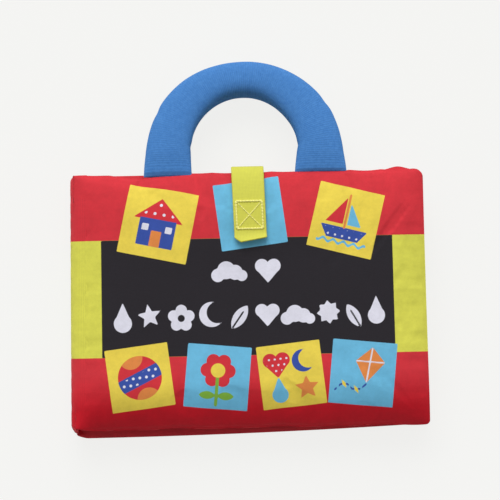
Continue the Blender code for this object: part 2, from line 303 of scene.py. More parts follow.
def crowded(count):
    """Places from 0 to 1 that lie closer at both ends: u less a share of sin(2 pi u) / 2 pi."""
    u = np.linspace(0, 1, count)
    return u - CROWDING * np.sin(2 * math.pi * u) / (2 * math.pi)


def ripple(along, wavelength, seed):
    """Smooth noise from -1 to 1 along a line: four sines near a wavelength, seeded phases."""
    random = np.random.default_rng(seed)
    waves = wavelength * random.uniform(0.6, 1.7, 4)
    phases = random.uniform(0, 2 * math.pi, 4)
    return sum(np.sin(2 * math.pi * along / w + p) for w, p in zip(waves, phases)) / 3


def lumps(x, y, wavelength, seed):
    """Smooth noise from -1 to 1 over a plane: six plane waves in seeded directions."""
    random = np.random.default_rng(seed)
    turns = random.uniform(0, math.pi, 6)
    waves = wavelength * random.uniform(0.6, 1.8, 6)
    phases = random.uniform(0, 2 * math.pi, 6)
    total = 0
    for turn, wave, phase in zip(turns, waves, phases):
        along = x * math.cos(turn) + y * math.sin(turn)
        total = total + np.sin(2 * math.pi * along / wave + phase)
    return total / 4


def gathers(along, seed, distance, reach):
    """Puckers from 0 to 1: the crests of a ripple along a seam, dying away from the seam."""
    return np.clip(ripple(along, GATHER, seed), 0, 1) * np.exp(-distance / reach)


def way_down(y, height=COVER_SIZE[1]):
    """Share of the way from a panel's middle down to its lower side, none in its upper half."""
    return np.clip(-2 * y / height, 0, 1)


def cubic_rows(fine, coarse):
    """Matrix that reads a smooth curve through coarse rows at fine places (Catmull-Rom)."""
    place = np.linspace(0, coarse - 1, fine)
    cell = np.clip(np.floor(place).astype(int), 0, coarse - 2)
    t = place - cell
    weights = (
        -0.5 * t + t**2 - 0.5 * t**3,
        1 - 2.5 * t**2 + 1.5 * t**3,
        0.5 * t + 2 * t**2 - 1.5 * t**3,
        -0.5 * t**2 + 0.5 * t**3,
    )
    matrix = np.zeros((fine, coarse))
    for step, weight in zip((-1, 0, 1, 2), weights):
        np.add.at(matrix, (np.arange(fine), np.clip(cell + step, 0, coarse - 1)), weight)
    return matrix


def blurred(values, passes=12):
    """A grid of values, each averaged with its neighbours again and again, edges repeated."""
    for _ in range(passes):
        wide = np.pad(values, 1, mode="edge")
        values = (wide[:-2, 1:-1] + wide[2:, 1:-1] + wide[1:-1, :-2] + wide[1:-1, 2:]) / 4
    return values


def grid_quads(numbers):
    """Quads over a grid of point numbers, facing up where its second axis runs along +Y."""
    corners = (numbers[:-1, :-1], numbers[1:, :-1], numbers[1:, 1:], numbers[:-1, 1:])
    return np.stack(corners, axis=-1).reshape(-1, 4)


def rim_of(numbers):
    """The point numbers round a grid, anticlockwise seen from above."""
    sides = (numbers[:-1, 0], numbers[-1, :-1], numbers[:0:-1, -1], numbers[0, :0:-1])
    return np.concatenate(sides)


def build_mesh(name, points, faces, finish, uv=None, values=()):
    """A smooth-shaded closed piece at the origin, facing out, with its UV map and attributes."""
    mesh = bpy.data.meshes.new(name)
    mesh.from_pydata(np.asarray(points).tolist(), [], faces)
    body = bmesh.new()
    body.from_mesh(mesh)
    if body.calc_volume(signed=True) < 0:
        bmesh.ops.reverse_faces(body, faces=body.faces)
        body.to_mesh(mesh)
    body.free()
    mesh.materials.append(finish)
    mesh.shade_smooth()
    if uv is not None:
        corners = np.zeros(len(mesh.loops), int)
        mesh.loops.foreach_get("vertex_index", corners)
        layer = mesh.uv_layers.new(name="cloth")
        layer.data.foreach_set("uv", np.asarray(uv, np.float32)[corners].ravel())
    for key, numbers in dict(values).items():
        attribute = mesh.attributes.new(key, "FLOAT", "POINT")
        attribute.data.foreach_set("value", np.asarray(numbers, np.float32))
    piece = bpy.data.objects.new(name, mesh)
    bpy.context.scene.collection.objects.link(piece)
    return piece


def build_half_pad(name, surface, base, finish, uv, inks=(), coarse=4):
    """A closed half of a pad: a fine outer surface over a level base that shares its rim.

    The base keeps every coarse-th row and column, and each rim wall joins one base side to the
    fine points over it. inks are point attributes of the outer surface. The book was cut wider
    at its foot than at its head, by FOOT_SPREAD of its width, so x grows towards the foot.
    """
    columns, rows = surface.shape[:2]
    top = np.arange(columns * rows).reshape(columns, rows)
    base_points = base[::coarse, ::coarse]
    bottom = top.size + np.arange(base_points[..., 0].size).reshape(base_points.shape[:2])
    outer, inner = rim_of(top).tolist(), rim_of(bottom).tolist()
    faces = grid_quads(top).tolist() + grid_quads(bottom)[:, ::-1].tolist()
    for k, start in enumerate(inner):
        fine = [outer[(k * coarse + j) % len(outer)] for j in range(coarse + 1)]
        faces.append([start, inner[(k + 1) % len(inner)], *fine[::-1]])
    points = np.concatenate([surface.reshape(-1, 3), base_points.reshape(-1, 3)])
    points[:, 0] *= 1 - FOOT_SPREAD / 2 * points[:, 1] / HALF_HEIGHT
    places = np.concatenate([uv.reshape(-1, 2), uv[::coarse, ::coarse].reshape(-1, 2)])
    values = {}
    for key, depth in dict(inks).items():
        values[key] = np.concatenate([depth.ravel(), depth[::coarse, ::coarse].ravel()])
    return build_mesh(name, points, faces, finish, places, values)


def panel_plan(size, corner, drawn, slip, grid):
    """Plan of a panel: x from its hinge side, y from its middle, and distances from its edges.

    The fore corners are pulled in along their diagonals, the lower one less so. The fore side
    is drawn in as a parabola. The lower side slips down by 1 - (x / width)^2 and turns up by a
    high power of the way down close to the hinge.
    """
    width, height = size
    u, v = (crowded(count) for count in grid)
    x, from_bottom = np.meshgrid(width * u, height * v, indexing="ij")
    y = from_bottom - height / 2
    from_side = np.minimum(x, width - x)
    from_end = np.minimum(from_bottom, height - from_bottom)
    corner = corner * np.where(y < 0, LOW_CORNER, 1.0)
    near = np.clip(1 - (width - x) / corner, 0, 1) * np.clip(1 - from_end / corner, 0, 1)
    pull = corner * (1 - math.sqrt(0.5)) * near**2
    below = way_down(y, height)
    along = x / width
    new_x = x - pull - drawn * along * (1 - (2 * y / height) ** 2)
    new_y = y - pull * np.sign(y) - below * slip * (1 - along**2)
    turned_up = (HINGE_TURN + SLIP_TURN * slip) * below**TURN_POWER
    new_y += turned_up * np.clip(1 - x / HINGE_TURN_REACH, 0, 1) ** HINGE_TURN_FADE
    return new_x, new_y, from_side, from_end


def blown_up(upper, lower):
    """Blow up a closed pad made of two grids that share their rims; return the moved grids.

    It is cloth with air pressure inside and no gravity, held along its first column, and it is
    read after SIM_FRAMES frames.
    """
    columns, rows = upper.shape[:2]
    top = np.arange(columns * rows).reshape(columns, rows)
    bottom = top.copy()
    under = lower[1:-1, 1:-1].reshape(-1, 3)
    bottom[1:-1, 1:-1] = (top.size + np.arange(len(under))).reshape(columns - 2, rows - 2)
    points = np.concatenate([upper.reshape(-1, 3), under])
    quads = np.concatenate([grid_quads(top), grid_quads(bottom)[:, ::-1]])
    mesh = bpy.data.meshes.new("pad")
    mesh.from_pydata(points.tolist(), [], quads.tolist())
    pad = bpy.data.objects.new("pad", mesh)
    scene = bpy.context.scene
    scene.collection.objects.link(pad)
    held = pad.vertex_groups.new(name="held")
    held.add(top[0].tolist(), 1.0, "REPLACE")
    cloth = pad.modifiers.new("cloth", "CLOTH")
    cloth.settings.vertex_group_mass = held.name
    cloth.settings.use_pressure = True
    cloth.settings.uniform_pressure_force = SIM_PRESSURE
    cloth.settings.effector_weights.gravity = 0
    cloth.settings.bending_stiffness = SIM_BENDING
    cloth.point_cache.frame_start = 1
    cloth.point_cache.frame_end = SIM_FRAMES
    for step in range(1, SIM_FRAMES + 1):
        scene.frame_set(step)
    moved = pad.evaluated_get(bpy.context.evaluated_depsgraph_get()).data
    places = np.zeros(len(points) * 3)
    moved.vertices.foreach_get("co", places)
    places = places.reshape(-1, 3)
    bpy.data.objects.remove(pad)
    bpy.data.meshes.remove(mesh)
    scene.frame_set(1)
    return places[top], places[bottom]


def pad_folds(size, corner, drawn, slip, grid, seed):
    """Small folds of a blown-up pad, above and below, read at a finer grid.

    Each is the blown-up height less its own blurred self, capped at FOLD_LIMIT.
    """
    x, y, from_side, from_end = panel_plan(size, corner, drawn, slip, SIM_GRID)
    rise = SIM_RISE * swell(from_side, SIM_RUN) * swell(from_end, SIM_RUN)
    rise = rise * (1 + SIM_UNEVEN * lumps(x, y, LUMP, seed))
    upper, lower = (np.stack([x, y, side * rise], axis=-1) for side in (1, -1))
    readers = [cubic_rows(fine, coarse) for fine, coarse in zip(grid, SIM_GRID)]
    folds = []
    for surface, side in zip(blown_up(upper, lower), (1, -1)):
        height = side * surface[..., 2]
        folds.append(readers[0] @ (height - blurred(height)) @ readers[1].T)
    return np.clip(folds, -FOLD_LIMIT, FOLD_LIMIT)


def panel_heights(plan, folds, crown, run, most, seed):
    """Height of one side of a panel over its seam plane.

    The flange rounds up from the rim, then the crown swells in from the sides and ends. Puckers
    bite into it along the seams, and slow lumps of wadding and the folds ride on top. Nothing
    goes over most, where a neighbour begins.
    """
    x, y, from_side, from_end = plan
    from_edge = np.minimum(from_side, from_end)
    full = swell(from_side - SEAM, run) * swell(from_end - SEAM, run)
    ends = gathers(x, seed, from_end, GATHER_REACH)
    sides = gathers(y, seed + 1, from_side, GATHER_REACH)
    gathered = np.maximum(ends, sides) * np.clip(from_edge / SEAM, 0, 1)
    slow = LUMP_RISE * lumps(x, y, LUMP, seed + 2) * full
    rise = (crown - FLANGE) * full * (1 - GATHER_DEPTH * gathered) + slow
    rise = rise + FOLD_SHARE * folds * full
    return FLANGE * swell(from_edge, SEAM) + np.clip(rise, 0, most - FLANGE)


def lower_sag(name, x, y, height):
    """How far a panel droops at its lower side, where the pages thin out under it.

    The droop is a parabola up from the lower side, and it fades in smoothly from the hinge.
    """
    from_low = np.clip(1 - (y + height / 2) / LOWER_SAG_RUN, 0, 1)
    from_hinge = np.clip(x / SAG_FADE, 0, 1)
    return LOWER_SAGS[name] * from_low**2 * from_hinge**2 * (3 - 2 * from_hinge)


def panel_half(name, nodes, seam_z, hinge_x, plan, height, side, finish, inks=(), sag=0.0):
    """One half of a panel over (side 1) or under (side -1) its seam plane, less its sag."""
    x, y = plan[:2]
    base_z = seam_z + side * BASE_GAP - sag + np.zeros_like(x)
    surface = np.stack([hinge_x + x, y, base_z + side * height], axis=-1)
    base = np.stack([hinge_x + x, y, base_z], axis=-1)
    uv = np.stack([x, y], axis=-1)
    piece = build_half_pad(name, surface, base, finish, uv, inks)
    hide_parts(*nodes)
    return piece


def seam_height(cover):
    """Height of a cover's seam plane, between its face and its lining in the CAD."""
    nodes = (f"{cover}_face", f"{cover}_lining")
    heights = [corner.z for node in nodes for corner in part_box(node)]
    return sum(sorted(heights)[1:3]) / 2


# Back cover.
# Printed red cotton outside, with the band and the black panel of the front carried round,
# and plain red cotton inside. It lies flat on the table and slips a little below the front.

RED = "D42E39"
# SHADE_CRIMSON is painted shade: a deeper red laid over the cloth towards the foot, where the
# covers fall away from the light.
SHADE_CRIMSON = "C6001B"
LIME = "DCDA54"
BLACK = "17121A"
HINGE_X = -COVER_SIZE[0] / 2
COVER_CORNER = 0.007
COVER_DRAW = 0.0004
COVER_GRID = (321, 233)
COVER_CROWN = 0.008
COVER_RUN = 0.0435
LINING_CROWN = 0.004
LINING_RUN = 0.028
EDGE_POWER = 8
BACK_SLIP = 0.0062
BACK_PEEK = (0.1150, 0.0030, 0.0090)
REST_CUT = 0.0005
MM = 1000.0
# Heights in mm where the painted shade at the foot begins and where it is full.
SHADE_FROM, SHADE_FULL = -54.0, -82.0
BAND_LOW, BAND_HIGH = -41.7, 46.7
PANEL_LEFT, PANEL_RIGHT = -112.5, 108.0


def bell(distance, width):
    """A bell curve that is 1 at no distance and fades over a width."""
    return np.exp(-((distance / width) ** 2))


def rectangle(x, y, low, high):
    """Depth inside a rectangle: distance to its nearest side."""
    return np.minimum.reduce([x - low[0], high[0] - x, y - low[1], high[1] - y])


def painted_shade_depth(y):
    """Depth in mm of a painted shade that deepens evenly towards the foot, at heights in metres.
    """
    share = (y * MM - SHADE_FROM) / (SHADE_FULL - SHADE_FROM)
    return INK_EDGE * (2 * np.clip(share, 0, 1) - 1)


def band_inks_and_shade(x, y):
    """Depths in mm of the painted shade at the foot, the lime band and the black panel, at places
    in metres.
    """
    foot_shade = painted_shade_depth(y)
    x, y = x * MM, y * MM
    beyond = COVER_SIZE[0] * MM
    lime = rectangle(x, y, (-beyond, BAND_LOW), (beyond, BAND_HIGH))
    black = rectangle(x, y, (PANEL_LEFT, BAND_LOW), (PANEL_RIGHT, BAND_HIGH))
    return {"crimson_ink": foot_shade, "lime_ink": lime, "black_ink": black}


def build_cover_pads(word, plan, outer, inner, side, inks, depths, sag=0.0):
    """A cover's two halves: the printed one on its outer side (1 is up), and its lining."""
    cover = f"{word}_cover"
    # The printed cotton holds the print and the painted shade at the foot.
    printed = cotton(f"{word}_print_and_shade_poplin", RED, inks)
    inside = cotton(f"{word}_lining_poplin", RED)
    where = (seam_height(cover), HINGE_X, plan)
    for part, wadding, height, toward, finish, printing, slot in (
        ("face", "outer", outer, side, printed, depths, "cover_cloth"),
        ("lining", "inner", inner, -side, inside, (), "lining_cloth"),
    ):
        nodes = (f"{cover}_{part}", f"{cover}_{wadding}_wadding")
        name = f"{cover}_{part}_pad"
        pad = panel_half(name, nodes, *where, height, toward, finish, printing, sag)
        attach(pad, cover)


def build_back_cover():
    """The back cover: its outer half lies under its seam plane and its lining over it."""
    x, y, *edges = panel_plan(COVER_SIZE, COVER_CORNER, COVER_DRAW, BACK_SLIP, COVER_GRID)
    peek_x, peek, peek_width = BACK_PEEK
    near_top = way_down(-y) ** EDGE_POWER
    y = y + peek * bell(HINGE_X + x - peek_x, peek_width) * near_top
    plan = (x, y, *edges)
    folds = pad_folds(COVER_SIZE, COVER_CORNER, COVER_DRAW, BACK_SLIP, COVER_GRID, seed=31)
    most = seam_height("back_cover") - BASE_GAP
    outer = panel_heights(plan, folds[1], COVER_CROWN + REST_CUT, COVER_RUN, most, seed=32)
    inner = panel_heights(plan, folds[0], LINING_CROWN, LINING_RUN, LINING_CROWN, seed=35)
    inks = (("crimson_ink", SHADE_CRIMSON), ("lime_ink", LIME), ("black_ink", BLACK))
    depths = band_inks_and_shade(HINGE_X + x, y)
    build_cover_pads("back", plan, outer, inner, -1, inks, depths)


build_back_cover()

# Spine.
# A narrow wadded panel between the covers, in the same printed cotton, with the lime band
# carried round. Its cloth rolls over both folds, and its foot slips with the back cover.

SPINE_CROWN = 0.003
SPINE_RUN = 0.012
SPINE_END_RUN = 0.004
SPINE_FOOT = 0.4
SPINE_SLIP = 0.0046
SPINE_GATHER_REACH = 0.006
SPINE_GATHER_DEPTH = 0.5
SPINE_GRID = (25, 233)
FOLD_REACH = 0.0035
ROLL_GRID = (25, 233)
ROLL_DOWN = 0.0080
ROLL_IN = 0.0100
ROLL_SINK = 0.0005
ROLL_POWER = 2.3
ROLL_WAVE = (0.05, 0.03)
ROLL_CORE = 0.12


def superellipse(part, power):
    """A cosine or sine bent towards a square's: its size to the power 2 / power."""
    return np.sign(part) * np.abs(part) ** (2 / power)


def foot_fullness(y):
    """How many times fuller the spine is towards its foot, growing evenly from its head."""
    return 1 + SPINE_FOOT * (0.5 - y / COVER_SIZE[1])


def slipped_y(y, share):
    """Heights along the spine, turned up at its foot and slipped down by a share there."""
    below = way_down(y)
    return y + HINGE_TURN * below**TURN_POWER - SPINE_SLIP * below * share


def carried_inks_and_shade(y):
    """Depths in mm of the painted shade at the foot and of the lime band that the front carries
    round.
    """
    lime = np.minimum(y * MM - BAND_LOW, BAND_HIGH - y * MM)
    return {"crimson_ink": painted_shade_depth(y), "lime_ink": lime}


def build_spine_half(name, nodes, low_z, high_z, blend_bodies, blend_z, outward, finish, slot):
    """Half the spine's height, on its outward side (-1) or inside (1), from z low to z high.

    Its crown swells in from both folds and stays level along them, with small gathers. It slips
    by the share of the way down from the upper fold to the lower one.
    """
    bottom, top = seam_height("back_cover"), seam_height("front_cover")
    z, y = np.meshgrid(
        np.linspace(low_z, high_z, SPINE_GRID[0]),
        (crowded(SPINE_GRID[1]) - 0.5) * COVER_SIZE[1],
        indexing="ij",
    )
    from_fold = np.minimum(z - bottom, top - z)
    from_end = HALF_HEIGHT - np.abs(y)
    crown = (SPINE_CROWN - FLANGE) * foot_fullness(y) if outward < 0 else 0.0
    y = slipped_y(y, (top - z) / (top - bottom))
    gathered = gathers(y, 51, from_fold, SPINE_GATHER_REACH)
    full = swell(from_fold - SEAM, SPINE_RUN) * swell(from_end - SEAM, SPINE_END_RUN)
    height = FLANGE * swell(np.minimum(from_fold, from_end), SEAM)
    height = height + crown * full * (1 - SPINE_GATHER_DEPTH * gathered)
    x = HINGE_X + outward * (height + BASE_GAP)
    base = np.full_like(x, HINGE_X + outward * BASE_GAP)
    surface, base = (np.stack([side, y, z], axis=-1) for side in (x, base))
    uv = np.stack([z, y], axis=-1)
    piece = build_half_pad(name, surface, base, finish, uv, carried_inks_and_shade(y))
    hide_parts(*nodes)
    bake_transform(piece)


def build_fold_roll(name, fold_z, upward, finish):
    """The printed cloth rolled over one fold of the spine.

    Its section is a superellipse from the spine's side to the cover's outer side. It starts
    ROLL_SINK under both, so that it grows out of them, and it thins with them at its ends. The
    upper roll sags with the front cover and the lower one slips with the back cover.
    """
    angle = np.linspace(0, math.pi / 2, ROLL_GRID[0])
    y = (crowded(ROLL_GRID[1]) - 0.5) * COVER_SIZE[1]
    angle, y = np.meshgrid(angle, y, indexing="ij")
    from_end = HALF_HEIGHT - np.abs(y) - SEAM
    spine_rise = (SPINE_CROWN - FLANGE) * swell(ROLL_DOWN - SEAM, SPINE_RUN) * foot_fullness(y)
    spine_rise = FLANGE + spine_rise * swell(from_end, SPINE_END_RUN) - ROLL_SINK
    cover_rise = (COVER_CROWN - FLANGE) * swell(ROLL_IN - SEAM, COVER_RUN)
    cover_rise = FLANGE + cover_rise * swell(from_end, COVER_RUN) - ROLL_SINK
    wave = 1 + ROLL_WAVE[0] * ripple(y, ROLL_WAVE[1], 54)
    across = (ROLL_IN + spine_rise * wave) * superellipse(np.cos(angle), ROLL_POWER)
    rise = (ROLL_DOWN + cover_rise) * superellipse(np.sin(angle), ROLL_POWER)
    x = HINGE_X + ROLL_IN - across
    z = fold_z + upward * (rise - ROLL_DOWN)
    if upward > 0:
        z = z - lower_sag("front_cover", x - HINGE_X, y, COVER_SIZE[1])
    moved_y = slipped_y(y, 0 if upward > 0 else 1)
    surface = np.stack([x, moved_y, z], axis=-1)
    core_x, core_z = HINGE_X + ROLL_IN, fold_z - upward * ROLL_DOWN
    base_x, base_z = x + (core_x - x) * ROLL_CORE, z + (core_z - z) * ROLL_CORE
    base = np.stack([base_x, moved_y, base_z], axis=-1)
    uv = np.stack([angle * ROLL_DOWN, y], axis=-1)
    roll = build_half_pad(name, surface, base, finish, uv, carried_inks_and_shade(y))
    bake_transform(roll)


def build_spine():
    """Four half-height pieces, outside and inside, and a roll of cloth over each fold."""
    bottom, top = seam_height("back_cover"), seam_height("front_cover")
    middle = (bottom + top) / 2
    # The spine's print holds the painted shade at the foot as well as the lime band.
    print_and_shade_inks = (("crimson_ink", SHADE_CRIMSON), ("lime_ink", LIME))
    printed = cotton("spine_print_and_shade_poplin", RED, print_and_shade_inks)
    inside = cotton("spine_lining_poplin", RED)
    low = (bottom, middle, ("back_cover", "spine"), (bottom, bottom + FOLD_REACH))
    high = (middle, top, ("spine", "front_cover"), (top - FOLD_REACH, top))
    for part, where in (("lower", low), ("upper", high)):
        nodes = ("spine_face", "spine_wadding")
        build_spine_half(f"spine_face_{part}", nodes, *where, -1, printed, "cover_cloth")
        nodes = ("spine_lining",)
        build_spine_half(f"spine_lining_{part}", nodes, *where, 1, inside, "lining_cloth")
    build_fold_roll("front_fold_roll", top, 1, printed)
    build_fold_roll("back_fold_roll", bottom, -1, printed)


build_spine()

# Pages.
# Three padded leaves of printed cotton, each with a crinkling film between its two waddings.
# Their roots are caught in the spine's lining, so each page bends away from the spine there.

YELLOW = "EFD650"
SKY = "6DBCE1"
NAVY = "344FA4"
ORANGE = "E58A45"
GREEN = "7FB13C"
WHITE = "E4E3F0"
LEAF_COUNT = 3
LEAF_SIZE = (0.2602, 0.184)
LEAF_CORNER = 0.014
LEAF_DRAW = 0.002
LEAF_CROWN = 0.004
LEAF_RUN = 0.026
LEAF_GRID = (177, 125)
LEAF_HINGE = 0.0018
ROOT_TUCK = 0.0009
ROOT_BEND = 0.0040
FILM_ROOM = 0.0002
PAGE_FRAME = (-118.0, -82.0), (118.0, 82.0)
FRAME_LINE = 3.0
PAGE_DOTS = (4.0, 14.0, 2.6)
FILM_TINT = "DDE3EA"


def crinkle_film():
    """Blown polyester film, crumpled: glossy facets between the creases of a cell pattern."""
    finish, tree, shader = start_material("crinkled_film")
    place = add_node(tree, "ShaderNodeTexCoord")
    at = {"Vector": (place, "Object")}
    cells = add_node(
        tree, "ShaderNodeTexVoronoi", {"Scale": 110.0}, at, feature="DISTANCE_TO_EDGE"
    )
    haze = add_node(tree, "ShaderNodeTexNoise", {"Scale": 40.0, "Detail": 4.0}, at)
    gloss = {"To Min": 0.18, "To Max": 0.4}
    rough = add_node(tree, "ShaderNodeMapRange", gloss, {"Value": (haze, "Fac")})
    tree.links.new(rough.outputs["Result"], shader.inputs["Roughness"])
    relief = {"Strength": 0.6, "Distance": 0.0004}
    bump = add_node(tree, "ShaderNodeBump", relief, {"Height": (cells, "Distance")})
    tree.links.new(bump.outputs["Normal"], shader.inputs["Normal"])
    shader.inputs["Base Color"].default_value = linear(FILM_TINT)
    shader.inputs["IOR"].default_value = 1.6
    return finish


def disc(x, y, centre, radius):
    """Depth inside a disc: its radius less the distance from its centre."""
    return radius - np.hypot(x - centre[0], y - centre[1])


def share_along(x, y, start, end):
    """Share of the way from one point to another, at the nearest place on their line."""
    step = np.subtract(end, start)
    return ((x - start[0]) * step[0] + (y - start[1]) * step[1]) / (step @ step)


def from_line(x, y, start, end):
    """Distance from a straight line between two points: from the nearest place along it."""
    step = np.subtract(end, start)
    along = np.clip(share_along(x, y, start, end), 0, 1)
    return np.hypot(x - start[0] - along * step[0], y - start[1] - along * step[1])


def polygon(x, y, corners):
    """Depth inside a polygon: distance to its nearest side, positive where sides cross once."""
    inside = np.zeros(np.shape(x), bool)
    nearest = np.full(np.shape(x), np.inf)
    for start, end in zip(corners, np.roll(corners, -1, axis=0)):
        nearest = np.minimum(nearest, from_line(x, y, start, end))
        if start[1] != end[1]:
            crossing = start[0] + (y - start[1]) * (end[0] - start[0]) / (end[1] - start[1])
            inside ^= ((start[1] > y) != (end[1] > y)) & (x < crossing)
    return np.where(inside, nearest, -nearest)


def rays_shape(x, y, centre, outer, inner, points, turn=0.0):
    """Depth inside a star: a polygon whose corners lie on two circles in turn."""
    angles = math.pi / 2 + turn + math.pi * np.arange(2 * points) / points
    reach = np.where(np.arange(2 * points) % 2 == 0, outer, inner)
    corners = np.stack([centre[0] + reach * np.cos(angles), centre[1] + reach * np.sin(angles)])
    return polygon(x, y, corners.T)


def heart(x, y, centre, size):
    """Depth inside a heart: two discs over a pointed polygon."""
    x, y = x - centre[0], y - centre[1]
    wide, tall = 0.5 * size, 0.58 * size
    low = polygon(x, y, [(-wide, 0.0), (0.0, -tall), (wide, 0.0), (0.0, 0.1 * size)])
    lobes = [disc(x, y, (side * 0.25 * size, 0.13 * size), 0.29 * size) for side in (-1, 1)]
    return np.maximum.reduce([low, *lobes])


def moon(x, y, centre, radius):
    """Depth inside a crescent: a disc less a smaller disc beside it."""
    bite = disc(x, y, (centre[0] + 0.45 * radius, centre[1] + 0.15 * radius), 0.85 * radius)
    return np.minimum(disc(x, y, centre, radius), -bite)


def drop(x, y, centre, size):
    """Depth inside a drop: a disc with a pointed polygon on top."""
    x, y = x - centre[0], y - centre[1]
    tip = polygon(x, y, [(-0.33 * size, 0.0), (0.33 * size, 0.0), (0.0, 0.75 * size)])
    return np.maximum(disc(x, y, (0.0, -0.12 * size), 0.38 * size), tip)


def spots(x, y, spacing, radius):
    """Depth inside rows of dots, each row shifted by half a space from the last."""
    row = np.round(y / spacing)
    x = x - spacing * 0.5 * (row % 2)
    return radius - np.hypot(x - spacing * np.round(x / spacing), y - spacing * row)


def dotted(x, y, shape, margin, spacing, radius):
    """Depth inside dots that are printed within a shape, in from its edge by a margin."""
    return np.minimum(shape - margin, spots(x, y, spacing, radius))


PAGES = {
    "leaf_1_front": (YELLOW, RED, heart, (92.0,)),
    "leaf_1_back": (SKY, ORANGE, disc, (44.0,)),
    "leaf_2_front": (LIME, NAVY, moon, (50.0,)),
    "leaf_2_back": (YELLOW, GREEN, drop, (86.0,)),
    "leaf_3_front": (SKY, RED, rays_shape, (56.0, 24.0, 5)),
    "leaf_3_back": (ORANGE, NAVY, rays_shape, (52.0, 40.0, 8)),
}


def page_inks(x, y, shape, sizes):
    """Depths in mm of a printed frame line, one big shape in the middle, and dots within it."""
    x, y = x * MM, y * MM
    border = rectangle(x, y, *PAGE_FRAME)
    big = shape(x, y, (0.0, 0.0), *sizes)
    frame_line = FRAME_LINE / 2 - np.abs(border)
    return {"frame_ink": frame_line, "shape_ink": big, "dot_ink": dotted(x, y, big, *PAGE_DOTS)}


def build_leaf(number, film):
    """A leaf: two padded halves over and under its seam plane, its root tucked to the spine."""
    name = f"leaf_{number}"
    hinge_x = HINGE_X + LEAF_HINGE
    x, y, *edges = panel_plan(LEAF_SIZE, LEAF_CORNER, LEAF_DRAW, 0.0, LEAF_GRID)
    x = x - ROOT_TUCK * np.clip(1 - x / ROOT_BEND, 0, 1)
    plan = (x, y, *edges)
    folds = pad_folds(LEAF_SIZE, LEAF_CORNER, LEAF_DRAW, 0.0, LEAF_GRID, seed=60 + number)
    low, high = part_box(f"{name}_film")
    middle_z = (low.z + high.z) / 2
    sag = lower_sag(name, x, y, LEAF_SIZE[1])
    for part, side, folded in (("front", 1, folds[0]), ("back", -1, folds[1])):
        ground, ink, shape, sizes = PAGES[f"{name}_{part}"]
        inks = (("frame_ink", WHITE), ("shape_ink", ink), ("dot_ink", WHITE))
        printed = cotton(f"{name}_{part}_poplin", ground, inks)
        depths = page_inks(hinge_x + x, y, shape, sizes)
        height = panel_heights(plan, folded, LEAF_CROWN, LEAF_RUN, LEAF_CROWN, seed=70 + number)
        height = np.minimum(height, LEAF_CROWN - FILM_ROOM)
        nodes = (f"{name}_{part}", f"{name}_{part}_wadding")
        where = (middle_z + side * FILM_ROOM, hinge_x, plan, height, side)
        page = panel_half(f"{name}_{part}_pad", nodes, *where, printed, depths, sag)
        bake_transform(page)
    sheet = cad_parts[f"{name}_film"].data
    sheet.materials.clear()
    sheet.materials.append(film)


shared_film = crinkle_film()
for leaf_number in range(1, LEAF_COUNT + 1):
    build_leaf(leaf_number, shared_film)

# Front cover.
# Printed red cotton with a lime band, a black panel and seven tilted squares, padded more
# than the pages. The handle pulls small creases into it, and wadding lies unevenly below.

ROOM_ABOVE = 0.0008
PRINT_SHIFT = -1.6
STRAP_PLACE = -0.0006
STRAP_CLEAR = 0.014
STRAP_END = 0.038
TOP_EDGE_DIP = (-0.0820, 0.0034, 0.018)
TOP_EDGE_WAVE = (0.0007, 0.050)
LOW_EDGE_WAVE = (0.0011, 0.045)
BROAD_LUMP = 0.08
BROAD_LUMP_RISE = 0.0004
BROAD_LUMP_RUN = 0.03
CREASES = (
    ((-0.0406, 0.0960), (-0.0375, 0.0780), 0.0011),
    ((-0.0790, 0.0960), (-0.0850, 0.0860), 0.0012),
    ((0.0735, 0.0960), (0.0780, 0.0830), 0.0012),
    ((0.0390, 0.0960), (0.0400, 0.0880), 0.0007),
    ((-0.0600, 0.0960), (-0.0620, 0.0890), 0.0005),
    ((0.0580, 0.0960), (0.0575, 0.0900), 0.0005),
)
CREASE_WIDTH = 0.0022
CREASE_TAIL = 1.6
CREASE_START = 0.004
SQUARE_MARGIN = 0.5
COVER_INKS_AND_SHADE = (
    # The first layer is painted shade, deepening the red towards the foot.
    ("crimson_ink", SHADE_CRIMSON),
    ("lime_ink", LIME),
    ("black_ink", BLACK),
    ("yellow_ink", YELLOW),
    ("sky_ink", SKY),
    ("red_shapes", RED),
    ("navy_shapes", NAVY),
    ("orange_shapes", ORANGE),
    ("green_shapes", GREEN),
    ("sky_shapes", SKY),
    ("white_shapes", WHITE),
    ("yellow_shapes", YELLOW),
)


def turned(x, y, centre, tilt):
    """Places measured from a centre along axes turned anticlockwise by a tilt in degrees."""
    c, s = math.cos(math.radians(tilt)), math.sin(math.radians(tilt))
    x, y = x - centre[0], y - centre[1]
    return c * x + s * y, c * y - s * x


def line_print(x, y, points, width):
    """Depth inside a printed line: half its width less the distance from its path."""
    paths = [from_line(x, y, a, b) for a, b in zip(points[:-1], points[1:])]
    return width / 2 - np.minimum.reduce(paths)


def house(x, y):
    """A house: navy wall, red roof with dots, orange door and white windows."""
    roof = polygon(x, y, [(-19.0, 2.0), (0.0, 19.0), (19.0, 2.0)])
    panes = rectangle(np.abs(x), y, (6.4, -6.5), (11.6, -1.5))
    return {
        "navy_shapes": rectangle(x, y, (-14.0, -18.0), (14.0, 3.0)),
        "red_shapes": roof,
        "orange_shapes": rectangle(x, y, (-4.0, -18.0), (4.0, -6.0)),
        "white_shapes": np.maximum(dotted(x, y, roof, 1.5, 7.0, 1.2), panes),
    }


